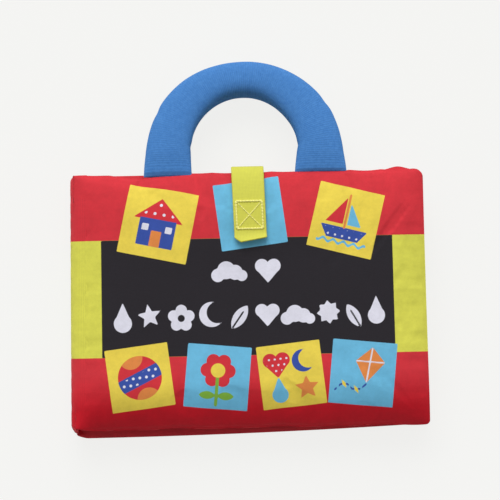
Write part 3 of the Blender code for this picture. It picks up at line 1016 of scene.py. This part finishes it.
def boat(x, y):
    """A sailing boat: navy hull, red and sky blue sails, orange mast and a dotted sea."""
    hull = polygon(x, y, [(-18.0, -6.0), (18.0, -6.0), (12.0, -15.0), (-12.0, -15.0)])
    crests = -17.5 + 1.2 * np.sin(x * 0.8)
    sea = np.minimum(1.0 - np.abs(y - crests), 19.0 - np.abs(x))
    return {
        "navy_shapes": hull,
        "red_shapes": polygon(x, y, [(-1.6, -3.5), (-1.6, 17.0), (-15.0, -3.5)]),
        "sky_shapes": np.maximum(polygon(x, y, [(1.8, -3.5), (1.8, 13.0), (12.5, -3.5)]), sea),
        "orange_shapes": line_print(x, y, [(0.0, -6.0), (0.0, 19.0)], 1.7),
        "white_shapes": dotted(x, y + 1.5, hull, 1.4, 5.5, 0.9),
    }


def ball(x, y):
    """A play ball: a red disc with a navy belt, white dots in it and orange caps."""
    whole = disc(x, y, (0.0, 0.0), 16.5)
    belt = np.minimum(whole, line_print(x, y, [(-18.0, -7.0), (18.0, 6.0)], 10.0))
    caps = np.maximum(disc(x, y, (-5.0, 16.0), 9.0), disc(x, y, (5.0, -17.0), 9.0))
    return {
        "red_shapes": whole,
        "navy_shapes": belt,
        "orange_shapes": np.minimum(whole, caps),
        "white_shapes": dotted(x, y, belt, 1.2, 5.0, 1.1),
    }


def flower(x, y):
    """A flower: six red petals round a yellow middle, on a green stem with two leaves."""
    turns = 2 * math.pi * np.arange(6) / 6
    petals = [disc(x, y, (8 * math.cos(t), 5 + 8 * math.sin(t)), 5.2) for t in turns]
    aside = np.abs(x)
    leaves = np.minimum(disc(aside, y, (7.0, -19.0), 8.0), disc(aside, y, (7.0, -9.0), 8.0))
    stem = line_print(x, y, [(0.0, -21.0), (0.0, 0.0)], 2.4)
    return {
        "red_shapes": np.maximum.reduce(petals),
        "green_shapes": np.maximum(stem, leaves),
        "yellow_shapes": disc(x, y, (0.0, 5.0), 5.4),
    }


def shapes(x, y):
    """A dotted heart, a moon, a drop and a star, one in each quarter."""
    big = heart(x, y, (-10.0, 10.0), 19.0)
    return {
        "red_shapes": big,
        "navy_shapes": moon(x, y, (10.0, 10.0), 8.5),
        "sky_shapes": drop(x, y, (-10.0, -12.0), 16.0),
        "orange_shapes": rays_shape(x, y, (10.5, -10.5), 9.5, 4.4, 5),
        "white_shapes": dotted(x, y, big, 0.9, 4.4, 0.9),
    }


def kite(x, y):
    """An orange kite with white spars, and a dashed navy tail with two yellow bows."""
    top, right, low, left = (6.0, 20.0), (16.0, 9.0), (3.0, -7.0), (-6.0, 9.0)
    sail = polygon(x, y, [top, right, low, left])
    spars = [line_print(x, y, ends, 1.1) for ends in ((top, low), (right, left))]
    tail = (3.0, -8.0), (-1.0, -12.0), (-7.0, -12.5), (-11.0, -9.0), (-16.0, -9.5), (-20.0, -14.0)
    dashes = 1.6 - np.abs((x + 40.0) % 4.4 - 2.2)
    ties = ((-4.0, -12.5), (-13.5, -9.0))
    return {
        "orange_shapes": sail,
        "navy_shapes": np.minimum(line_print(x, y, tail, 1.3), dashes),
        "white_shapes": np.minimum(np.maximum(*spars), sail),
        "yellow_shapes": np.maximum(*(rays_shape(x, y, tie, 4.2, 1.3, 2, 0.6) for tie in ties)),
    }


def daisy(x, y, centre, radius):
    """Depth inside a daisy with an open middle: five discs round a ring."""
    x, y = x - centre[0], y - centre[1]
    turns = 0.3 + 2 * math.pi * np.arange(5) / 5
    places = [(radius * math.cos(t), radius * math.sin(t)) for t in turns]
    petals = [disc(x, y, place, radius * 0.72) for place in places]
    return np.minimum(np.maximum.reduce(petals), -disc(x, y, (0.0, 0.0), radius * 0.45))


def leaf_shape(x, y, centre, size, tilt):
    """Depth inside a leaf: where two discs overlap, less a thin vein down the middle."""
    u, v = turned(x, y, centre, tilt)
    sides = [disc(u, v, (side * 0.5 * size, 0.0), 0.75 * size) for side in (-1, 1)]
    vein = line_print(u, v, [(0.0, -0.5 * size), (0.0, 0.25 * size)], 1.3)
    return np.minimum(np.minimum(*sides), -vein)


def cloud(x, y, centre, size):
    """Depth inside a cloud: four discs side by side."""
    x, y = (x - centre[0]) / size, (y - centre[1]) / size
    puffs = ((-0.42, -0.08, 0.24), (-0.12, 0.1, 0.32), (0.2, 0.02, 0.27), (0.44, -0.1, 0.2))
    return size * np.maximum.reduce([disc(x, y, (u, v), radius) for u, v, radius in puffs])


WHITE_ROW = (
    (cloud, (-14.0, 20.5), 21.0),
    (heart, (15.0, 23.0), 18.0),
    (drop, (-95.0, -14.0), 18.0),
    (rays_shape, (-75.0, -11.0), 9.5, 4.2, 5, 0.15),
    (daisy, (-51.0, -13.0), 6.0),
    (moon, (-28.0, -10.5), 9.5),
    (leaf_shape, (-7.0, -13.0), 19.0, -35.0),
    (heart, (14.0, -10.5), 17.0),
    (cloud, (37.0, -13.0), 20.0),
    (rays_shape, (60.0, -10.5), 9.0, 6.4, 8, 0.1),
    (leaf_shape, (79.0, -13.5), 18.0, 30.0),
    (drop, (96.0, -11.5), 17.0),
)
SQUARES = (
    (house, (-67.6, 59.0), 53.2, -12.0, "yellow_ink"),
    (None, (2.5, 64.9), 50.4, 7.2, "sky_ink"),
    (boat, (74.8, 58.6), 49.8, -14.4, "yellow_ink"),
    (ball, (-82.8, -57.2), 47.6, 7.0, "yellow_ink"),
    (flower, (-24.5, -57.8), 48.0, -5.5, "sky_ink"),
    (shapes, (31.0, -57.4), 48.0, 6.0, "yellow_ink"),
    (kite, (84.6, -57.1), 48.4, -6.0, "sky_ink"),
)


def cover_inks_and_shade(x, y):
    """Depths in mm of every ink on the front cover, and of the painted shade at its foot, from
    places in metres.

    The white shapes stand in two rows on the black panel, as loosely set as hand drawing.
    """
    depths = band_inks_and_shade(x, y)
    x, y = x * MM - PRINT_SHIFT, y * MM
    nowhere = np.full(np.shape(x), -1.0)
    for key, _ in COVER_INKS_AND_SHADE[len(depths) :]:
        depths[key] = nowhere
    row = [shape(x, y, *sizes) for shape, *sizes in WHITE_ROW]
    depths["white_shapes"] = np.maximum.reduce(row)
    for motif, centre, side, tilt, ground in SQUARES:
        u, v = turned(x, y, centre, tilt)
        half = side / 2
        square = rectangle(u, v, (-half, -half), (half, half))
        depths[ground] = np.maximum(depths[ground], square)
        for key, depth in (motif(u, v) if motif else {}).items():
            depths[key] = np.maximum(depths[key], np.minimum(depth, square - SQUARE_MARGIN))
    return depths


def crease(x, y, start, end):
    """A groove from 0 to 1: a bell across the line from start through end, fading along it."""
    fade = np.clip(1 - share_along(x, y, start, end) / CREASE_TAIL, 0, 1)
    far = start + (end - start) * CREASE_TAIL
    return bell(from_line(x, y, start, far), CREASE_WIDTH) * fade


def build_front_cover():
    """The front cover: its printed half lies over its seam plane and its lining under it.

    Its top edge dips and is pulled in by waves, its lower edge is wavy, and under the strap it
    is kept below its crown's height, which it may pass by ROOM_ABOVE elsewhere.
    """
    x, y, *edges = panel_plan(COVER_SIZE, COVER_CORNER, COVER_DRAW, 0.0, COVER_GRID)
    from_side, from_end = edges
    place = HINGE_X + x
    depths = cover_inks_and_shade(place, y)
    dip_x, dip, dip_width = TOP_EDGE_DIP
    near_top, near_low = (way_down(end * y) ** EDGE_POWER for end in (-1, 1))
    y = y - dip * bell(place - dip_x, dip_width) * near_top
    y = y + LOW_EDGE_WAVE[0] * ripple(x, LOW_EDGE_WAVE[1], 12) * near_low
    y = y - TOP_EDGE_WAVE[0] * np.abs(ripple(x, TOP_EDGE_WAVE[1], 16)) * near_top
    plan = (x, y, *edges)
    folds = pad_folds(COVER_SIZE, COVER_CORNER, COVER_DRAW, 0.0, COVER_GRID, seed=11)

    beside = np.clip((np.abs(place - STRAP_PLACE) - STRAP_CLEAR) / STRAP_CLEAR, 0, 1)
    below = np.clip((0.5 * STRAP_CLEAR + STRAP_END - y) / STRAP_CLEAR, 0, 1)
    free = np.maximum(beside, below)
    most = COVER_CROWN + ROOM_ABOVE * free
    outer = panel_heights(plan, folds[0], COVER_CROWN, COVER_RUN, most, seed=13)
    inward = swell(np.minimum(from_side, from_end) - SEAM, BROAD_LUMP_RUN)
    outer = outer + BROAD_LUMP_RISE * lumps(x, y, BROAD_LUMP, 14) * inward * free
    for start, end, depth in CREASES:
        groove = depth * crease(place, y, np.array(start), np.array(end))
        outer = outer - groove * np.clip(from_end / CREASE_START, 0, 1)
    outer = np.clip(outer, 0, most)
    inner = panel_heights(plan, folds[1], LINING_CROWN, LINING_RUN, LINING_CROWN, seed=15)
    sag = lower_sag("front_cover", x, y, COVER_SIZE[1])
    build_cover_pads("front", plan, outer, inner, 1, COVER_INKS_AND_SHADE, depths, sag=sag)


build_front_cover()

# Handle.
# A sleeve of brushed blue knit, stuffed firm and sewn flat into the front cover's top edge.
# The knit runs round the tube in fine cross ribs, and its nap hides most of the loops.

HANDLE_HALF_SPAN = 0.0572
HANDLE_LEG = 0.0135
HANDLE_DIAMETER = 0.0264
HANDLE_FLAT = 0.0014
HANDLE_DROOP = math.radians(16)
HANDLE_GRID = (241, 96)
SECTION_POWER = 2.6
ARCH_POWER = 2.08
SHOULDER = 0.0022
RIGHT_FALL = 0.0012
ARCH_RISE = 0.0018
LEG_LEAN = (-0.0012, 0.0)
LEG_SPREAD = (-0.0008, 0.0018)
LEG_RUN = 0.018
SEWN_IN = (0.0036, 0.0020)
SEWN_RUN = 0.004
ROOT_GAP = 0.0003
RIB = 0.0015
KNIT_DARK = "3C74B8"
KNIT_LIGHT = "5690D2"
HANDLE_SHIFT = -0.0023
STUFFING_LUMPS = ((0.014, 0.045), (0.010, 0.020))
LUMP_RADIUS = 0.012
KINK_WIDTH = 0.0035
KINK_AROUND = 0.9
KINK_BULGE = (0.4, 0.006, 0.005)
KINKS = (
    (0.0390, 0.0, 0.0005),
    (0.0210, math.pi, 0.0003),
    (0.1610, 0.0, 0.0004),
    (0.1860, math.pi, 0.0003),
)


def brushed_knit():
    """Brushed cotton knit: cross ribs every RIB, heathered yarn and a short pale nap.

    The ribs are a wave along the tube, from the piece's own attribute of length in metres.
    """
    finish, tree, shader = start_material("brushed_knit")
    length = add_node(tree, "ShaderNodeAttribute", attribute_name="length")
    vector = add_node(tree, "ShaderNodeCombineXYZ", (), {"X": (length, "Fac")})
    across = {"Scale": band_scale(RIB), "Distortion": 0.0}
    ribs = add_node(tree, "ShaderNodeTexWave", across, {"Vector": (vector, 0)})
    place = add_node(tree, "ShaderNodeTexCoord")
    at = {"Vector": (place, "Object")}
    yarn = add_node(tree, "ShaderNodeTexNoise", {"Scale": 420.0, "Detail": 4.0}, at)
    nap = add_node(tree, "ShaderNodeTexNoise", {"Scale": 1500.0, "Detail": 2.0}, at)
    ends = {6: linear(KNIT_DARK), 7: linear(KNIT_LIGHT)}
    heather = add_node(tree, "ShaderNodeMix", ends, {0: (yarn, "Fac")}, data_type="RGBA")
    raised = {"To Min": 0.93, "To Max": 1.0}
    speck = {"From Min": 0.3, "From Max": 0.7, "To Min": 0.90, "To Max": 1.08}
    tone = tone_of(tree, ((ribs, "Fac"), raised), ((nap, "Fac"), speck))
    rough = ((nap, "Fac"), {"To Min": 0.85, "To Max": 1.0})
    summed = {0: (ribs, "Fac"), 1: (nap, "Fac")}
    height = add_node(tree, "ShaderNodeMath", (), summed, operation="ADD")
    relief = ((height, 0), {"Strength": 0.35, "Distance": 0.0002})
    finish_surface(tree, shader, (heather, 2), tone, rough, relief)
    shader.inputs["Specular IOR Level"].default_value = 0.15
    shader.inputs["Sheen Weight"].default_value = 0.3
    shader.inputs["Sheen Roughness"].default_value = 0.45
    shader.inputs["Sheen Tint"].default_value = linear(KNIT_LIGHT)
    return finish


def tube_faces(rings, sides):
    """Quads round a tube of rings, and one face over each end."""
    numbers = np.arange(rings * sides).reshape(rings, sides)
    after = np.roll(numbers, -1, axis=1)
    corners = (numbers[:-1], after[:-1], after[1:], numbers[1:])
    quads = np.stack(corners, axis=-1).reshape(-1, 4)
    return quads.tolist() + [numbers[0, ::-1].tolist(), numbers[-1].tolist()]


def build_handle():
    """The handle: a tube along a leg, half a superellipse and a leg, drooping from the cover.

    The section is a superellipse too. The cloth keeps its girth, so the section is as thick as
    wide on the arch, and flat and wider where it is sewn down. It is a little wider on both
    shoulders, of which the right one hangs lower. The left foot leans out and the right foot is
    spread, both as a bell. Kinks are bells that bite into one side of the tube.
    """
    length = 2 * HANDLE_LEG + math.pi * HANDLE_HALF_SPAN
    run = length * (1 - np.cos(math.pi * np.linspace(0, 1, HANDLE_GRID[0]))) / 2
    angle = np.linspace(0, 2 * math.pi, HANDLE_GRID[1], endpoint=False)
    run, angle = np.meshgrid(run, angle, indexing="ij")
    to_end = np.minimum(run, length - run)
    left = run < length / 2
    turn = np.clip((run - HANDLE_LEG) / HANDLE_HALF_SPAN, 0, math.pi)
    out, up = (superellipse(part, ARCH_POWER) for part in (np.cos(turn), np.sin(turn)))
    near_foot = bell(to_end, LEG_RUN)
    shoulder = np.sin(2 * turn) ** 2
    centre_x = HANDLE_SHIFT - HANDLE_HALF_SPAN * out + np.where(left, *LEG_LEAN) * near_foot
    centre_y = np.minimum(to_end, HANDLE_LEG) + (HANDLE_HALF_SPAN + ARCH_RISE) * up
    centre_y = centre_y - np.where(left, 0, RIGHT_FALL * shoulder)
    centre_y = centre_y - np.where(left, *SEWN_IN) * bell(to_end, SEWN_RUN)

    from_seam = 2 * to_end / length
    widest = math.sqrt(2 * HANDLE_DIAMETER**2 - HANDLE_FLAT**2)
    wide = HANDLE_DIAMETER + (widest - HANDLE_DIAMETER) * (1 - from_seam) ** 2
    wide = wide + SHOULDER * shoulder
    thick = np.sqrt(np.maximum(2 * HANDLE_DIAMETER**2 - wide**2, HANDLE_FLAT**2))
    wide = wide + np.where(left, *LEG_SPREAD) * near_foot**2
    round_it = (np.cos(angle), np.sin(angle))
    uneven = 1.0
    for (rise, wave), part, seed in zip(STUFFING_LUMPS, round_it, (21, 22)):
        uneven = uneven + rise * lumps(run, LUMP_RADIUS * part, wave, seed) * from_seam
    bulge, beyond, bulge_width = KINK_BULGE
    for place, toward, depth in KINKS:
        around = np.abs((angle - toward + math.pi) % (2 * math.pi) - math.pi)
        bite = bell(run - place, KINK_WIDTH) - bulge * bell(run - place - beyond, bulge_width)
        uneven = uneven - 2 * depth / HANDLE_DIAMETER * bite * bell(around, KINK_AROUND)
    sideways, upwards = (superellipse(part, SECTION_POWER) for part in round_it)
    across = sideways * wide / 2 * uneven
    x = centre_x - np.cos(turn) * across
    y = centre_y + np.sin(turn) * across
    z = upwards * thick / 2 * uneven

    droop_cos, droop_sin = math.cos(HANDLE_DROOP), math.sin(HANDLE_DROOP)
    hinge_y = HALF_HEIGHT + ROOT_GAP + HANDLE_FLAT / 2
    hinge_z = seam_height("front_cover")
    outside = np.maximum(y, 0)
    drooped_y = hinge_y + np.minimum(y, 0) + outside * droop_cos + z * droop_sin
    drooped_z = hinge_z - outside * droop_sin + z * droop_cos
    points = np.stack([x, drooped_y, drooped_z], axis=-1).reshape(-1, 3)
    shape = (points, tube_faces(*HANDLE_GRID), brushed_knit())
    sleeve = build_mesh("handle_padded_sleeve", *shape, values={"length": run.ravel()})
    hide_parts("handle_sleeve", "handle_stuffing")
    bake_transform(sleeve)


build_handle()

# Closing strap.
# Lime cotton webbing, sewn into the back cover's top seam, bent over the front cover and held
# by hook and loop tape. A pale stitched box with a cross holds the hook tape to the strap.

STRAP_WIDTH = 0.0245
STRAP_THICKNESS = 0.0016
STRAP_SKEW = math.radians(1.7)
STRAP_STAND = 0.0026
FOOT_RADIUS = 0.0053
STRAP_EASE = 0.0009
STRAP_REACH = 0.0542
STRAP_LIFT = 0.0035
STRAP_LIFT_RUN = 0.011
STRAP_TOUCH = 0.0003
TAPE_THICKNESS = 0.0008
TAPE_MARGIN = 0.0015
HOOK_REACH = (0.0200, 0.0410)
LOOP_REACH = (0.0150, 0.0470)
HOOK_SPACING, LOOP_SPACING = 0.0012, 0.0007
END_CUTS = (0.0048, 0.0012)
END_SLANT = 0.0042
SLANT_RUN = 0.008
RIBBON_SIDES = 17
RIBBON_TIP = 0.3
RIBBON_EDGE = 0.15
FOOT_STEPS, RISER_STEPS, BEND_STEPS, TAB_STEPS = 12, 40, 60, 30
HOOK_STEPS, LOOP_STEPS = 24, 32
PICK = 0.0011
WEBBING_LIME = "D7D656"
THREAD_PALE = "F4EF88"
TAPE_WHITE = "E9E7DF"
BOX_CENTRE = (0.0004, 0.0640)
BOX_HALF = (0.0098, 0.0104)
STITCH_PITCH = 0.0024
STITCH_GRID = (5, 6)
STITCH_REACH = 0.52
STITCH_TIP = 0.65
STITCH_TAPER = 1.3
THREAD_TWIST = 0.0007
THREAD_SUNK = 0.3
BOX_THREAD = 0.00085
CROSS_THREAD = 0.0005


def webbing():
    """Woven cotton webbing: raised picks across it, warp ends along it, slubs in the yarn.

    The real pick is 0.6 mm and is drawn at PICK, so that the weave shows.
    """
    finish, tree, shader = start_material("cotton_webbing")
    place = add_node(tree, "ShaderNodeTexCoord")
    at = {"Vector": (place, "UV")}
    across = {"Scale": band_scale(PICK), "Distortion": 0.8, "Detail": 1.0}
    picks = add_node(tree, "ShaderNodeTexWave", across, at, bands_direction="X")
    ends = add_node(tree, "ShaderNodeTexWave", across, at, bands_direction="Y")
    slub = add_node(tree, "ShaderNodeTexNoise", {"Scale": 260.0, "Detail": 4.0}, at)
    crossed = {0: (picks, "Fac"), 1: (ends, "Fac")}
    weave = add_node(tree, "ShaderNodeMath", (), crossed, operation="MULTIPLY")
    raised = {"To Min": 0.93, "To Max": 1.05}
    patchy = {"From Min": 0.3, "From Max": 0.7, "To Min": 0.97, "To Max": 1.03}
    tone = tone_of(tree, ((weave, 0), raised), ((slub, "Fac"), patchy))
    yarn = add_node(tree, "ShaderNodeRGB")
    yarn.outputs[0].default_value = linear(WEBBING_LIME)
    rough = ((slub, "Fac"), {"To Min": 0.7, "To Max": 0.9})
    relief = ((weave, 0), {"Strength": 0.5, "Distance": 0.0002})
    finish_surface(tree, shader, (yarn, 0), tone, rough, relief)
    shader.inputs["Specular IOR Level"].default_value = 0.25
    return finish


def touch_tape(name, spacing, strength):
    """Hook or loop tape: nylon tufts in cells of one spacing, pale on top and dark between."""
    finish, tree, shader = start_material(name)
    place = add_node(tree, "ShaderNodeTexCoord")
    at = {"Vector": (place, "UV")}
    tufts = add_node(tree, "ShaderNodeTexVoronoi", {"Scale": 1 / spacing}, at)
    fuzz = add_node(tree, "ShaderNodeTexNoise", {"Scale": 1800.0, "Detail": 2.0}, at)
    level = {"To Min": 1.0, "To Max": 0.72}
    top = add_node(tree, "ShaderNodeMapRange", level, {"Value": (tufts, "Distance")})
    nylon = add_node(tree, "ShaderNodeRGB")
    nylon.outputs[0].default_value = linear(TAPE_WHITE)
    rough = ((fuzz, "Fac"), {"To Min": 0.4, "To Max": 0.7})
    relief = ((tufts, "Distance"), {"Strength": strength, "Distance": 0.0004})
    finish_surface(tree, shader, (nylon, 0), (top, "Result"), rough, relief, invert=True)
    return finish


def twisted_thread():
    """Polyester sewing thread: a pale, slightly glossy ply with a fine twist."""
    finish, tree, shader = start_material("sewing_thread")
    place = add_node(tree, "ShaderNodeTexCoord")
    turns = {"Scale": band_scale(THREAD_TWIST), "Distortion": 0.3}
    at = {"Vector": (place, "Object")}
    twist = add_node(tree, "ShaderNodeTexWave", turns, at, bands_direction="DIAGONAL")
    level = {"To Min": 0.88, "To Max": 1.05}
    rise = add_node(tree, "ShaderNodeMapRange", level, {"Value": (twist, "Fac")})
    dyed = add_node(tree, "ShaderNodeRGB")
    dyed.outputs[0].default_value = linear(THREAD_PALE)
    scaled = {0: (dyed, 0), "Scale": (rise, "Result")}
    toned = add_node(tree, "ShaderNodeVectorMath", (), scaled, operation="SCALE")
    tree.links.new(toned.outputs[0], shader.inputs["Base Color"])
    shader.inputs["Roughness"].default_value = 0.5
    return finish


def cover_top(y):
    """Height of the front cover's outer side over its middle line, from its crown formula."""
    rise = FLANGE + (COVER_CROWN - FLANGE) * swell(HALF_HEIGHT - SEAM - y, COVER_RUN)
    return seam_height("front_cover") + rise


def strap_start():
    """Where the strap's middle stands up behind the covers: STRAP_STAND off their top edges."""
    return HALF_HEIGHT + STRAP_STAND + STRAP_THICKNESS / 2


def strap_height(y):
    """Height of the strap's middle over the cover: a quarter ellipse, level, then a lift."""
    middle_y, start_y = HALF_HEIGHT - SEAM - COVER_RUN, strap_start()
    stack = 3 * STRAP_TOUCH + 2 * TAPE_THICKNESS + STRAP_THICKNESS / 2 + STRAP_EASE
    reach = np.clip((y - middle_y) / (start_y - middle_y), 0, 1)
    lifted = np.clip((HALF_HEIGHT - STRAP_REACH + STRAP_LIFT_RUN - y) / STRAP_LIFT_RUN, 0, 1)
    arch = (COVER_CROWN - FLANGE + stack) * np.sqrt(1 - reach**2)
    return seam_height("front_cover") + FLANGE + arch + STRAP_LIFT * lifted**2


def build_ribbon(name, y, z, thickness, half_width, finish, cuts=(0.0, 0.0), slant=0.0):
    """A flat ribbon along a line of places (y, z), with rounded edges and ends.

    Its section is as thick as the swell in from both edges and ends. cuts narrow its left and
    right edges over the same distance before its far end, and slant draws the right end back.
    Its UV runs along and across it.
    """
    step_y, step_z = np.gradient(y), np.gradient(z)
    steps = np.hypot(step_y, step_z)
    along = np.concatenate([[0.0], np.cumsum(np.hypot(np.diff(y), np.diff(z)))])
    to_far = along[-1] - along
    left, right = (half_width - np.clip(cut - to_far, 0, None) for cut in cuts)
    share = np.sin(math.pi / 2 * np.linspace(-1, 1, RIBBON_SIDES))
    across = np.where(share < 0, np.outer(left, share), np.outer(right, share))
    edge = np.where(share < 0, left[:, None] + across, right[:, None] - across)
    ends = RIBBON_TIP + (1 - RIBBON_TIP) * swell(np.minimum(along, to_far), thickness / 2)
    rise = RIBBON_EDGE + (1 - RIBBON_EDGE) * swell(edge, thickness / 2)
    rise = thickness / 2 * rise * ends[:, None]
    across = np.concatenate([across, across[:, ::-1]], axis=1)
    rise = np.concatenate([rise, -rise[:, ::-1]], axis=1)
    lean = math.tan(STRAP_SKEW) * (strap_start() - y)
    drawn_back = slant * np.clip(1 - to_far / SLANT_RUN, 0, 1)
    drawn_back = drawn_back[:, None] * (1 + across / half_width) / 2
    places = (
        STRAP_PLACE + lean[:, None] + across,
        y[:, None] + (step_z / steps)[:, None] * rise + drawn_back,
        z[:, None] - (step_y / steps)[:, None] * rise,
    )
    points = np.stack(places, axis=-1).reshape(-1, 3)
    uv = np.stack([np.broadcast_to(along[:, None], across.shape), across], axis=-1)
    return build_mesh(name, points, tube_faces(*across.shape), finish, uv.reshape(-1, 2))


def build_stitches(name, lines, thread_radius, over, finish):
    """Stitches along straight lines between two points each: spindles laid end to end.

    Each is a small closed tube whose radius follows a cosine and whose middle is half sunk.
    """
    centres, directions = [], []
    for start, end in lines:
        step = np.subtract(end, start)
        count = max(int(round(np.hypot(*step) / STITCH_PITCH)), 1)
        share = (np.arange(count) + 0.5) / count
        centres.append(np.array(start) + share[:, None] * step)
        directions.append(np.tile(step / np.hypot(*step), (count, 1)))
    centres, directions = np.concatenate(centres), np.concatenate(directions)
    rings, sides = STITCH_GRID
    run = np.linspace(-STITCH_REACH, STITCH_REACH, rings) * STITCH_PITCH
    tapered = np.cos(np.linspace(-STITCH_TAPER, STITCH_TAPER, rings))
    radius = thread_radius * (STITCH_TIP + (1 - STITCH_TIP) * tapered)
    angle = 2 * math.pi * np.arange(sides) / sides
    side_step = np.outer(radius, np.cos(angle)).ravel()
    rise = np.outer(radius, np.sin(angle)).ravel()
    run = np.repeat(run, sides)
    x = centres[:, :1] + directions[:, :1] * run - directions[:, 1:] * side_step
    y = centres[:, 1:] + directions[:, 1:] * run + directions[:, :1] * side_step
    z = strap_height(y) + over + rise
    points = np.stack([x, y, z], axis=-1).reshape(-1, 3)
    one = tube_faces(rings, sides)
    faces = []
    for number in range(len(centres)):
        faces += [[corner + number * rings * sides for corner in face] for face in one]
    return build_mesh(name, points, faces, finish)


def build_strap():
    """The strap's riser, its tab with hook tape and stitched box, and the loop tape."""
    half = STRAP_WIDTH / 2
    strap_y = strap_start()
    foot_z = seam_height("back_cover")
    bend_z = seam_height("front_cover") + FLANGE
    woven = webbing()

    turn = np.linspace(math.pi, math.pi / 2, FOOT_STEPS)
    upright = np.linspace(foot_z + FOOT_RADIUS, bend_z, RISER_STEPS)[1:]
    foot_y = strap_y - FOOT_RADIUS * (1 - np.sin(turn))
    foot_rise = foot_z + FOOT_RADIUS * (1 + np.cos(turn))
    y = np.concatenate([foot_y, np.full_like(upright, strap_y)])
    z = np.concatenate([foot_rise, upright])
    riser = build_ribbon("strap_riser_webbing", y, z, STRAP_THICKNESS, half, woven)
    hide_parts("strap_riser")
    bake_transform(riser)

    middle_y = HALF_HEIGHT - SEAM - COVER_RUN
    quarter = np.linspace(0, math.pi / 2, BEND_STEPS)
    bent = middle_y + (strap_y - middle_y) * np.cos(quarter)
    quarter = math.pi / 2 * np.linspace(0, 1, TAB_STEPS)
    level = middle_y - (middle_y - HALF_HEIGHT + STRAP_REACH) * np.sin(quarter)
    y = np.concatenate([bent[:-1], level])
    run = (y, strap_height(y), STRAP_THICKNESS, half, woven)
    tab = build_ribbon("strap_tab_webbing", *run, END_CUTS, END_SLANT)
    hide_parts("strap_tab")
    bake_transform(tab)

    tape_half = half - TAPE_MARGIN
    y = HALF_HEIGHT - np.linspace(*HOOK_REACH, HOOK_STEPS)
    z = strap_height(y) - STRAP_THICKNESS / 2 - STRAP_TOUCH - TAPE_THICKNESS / 2
    hooks = touch_tape("hook_tape", HOOK_SPACING, 0.8)
    hook = build_ribbon("strap_hook_tape", y, z, TAPE_THICKNESS, tape_half, hooks)
    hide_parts("strap_hook_patch")
    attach(hook, "strap_tab")

    y = HALF_HEIGHT - np.linspace(*LOOP_REACH, LOOP_STEPS)
    z = cover_top(y) + STRAP_TOUCH + TAPE_THICKNESS / 2
    loops = touch_tape("loop_tape", LOOP_SPACING, 0.5)
    loop = build_ribbon("strap_loop_tape", y, z, TAPE_THICKNESS, tape_half, loops)
    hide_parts("strap_loop_patch")
    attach(loop, "front_cover")

    box = np.array([(-1, -1), (1, -1), (1, 1), (-1, 1)]) * BOX_HALF
    box[:, 0] -= math.tan(STRAP_SKEW) * box[:, 1]
    box = box + BOX_CENTRE
    sides = [(box[k], box[(k + 1) % 4]) for k in range(4)]
    cross = [(box[0], box[2]), (box[1], box[3])]
    thread = twisted_thread()
    for name, lines, radius in (("box", sides, BOX_THREAD), ("cross", cross, CROSS_THREAD)):
        over = STRAP_THICKNESS / 2 + THREAD_SUNK * radius
        stitches = build_stitches(f"strap_{name}_stitches", lines, radius, over, thread)
        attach(stitches, "strap_tab")


build_strap()
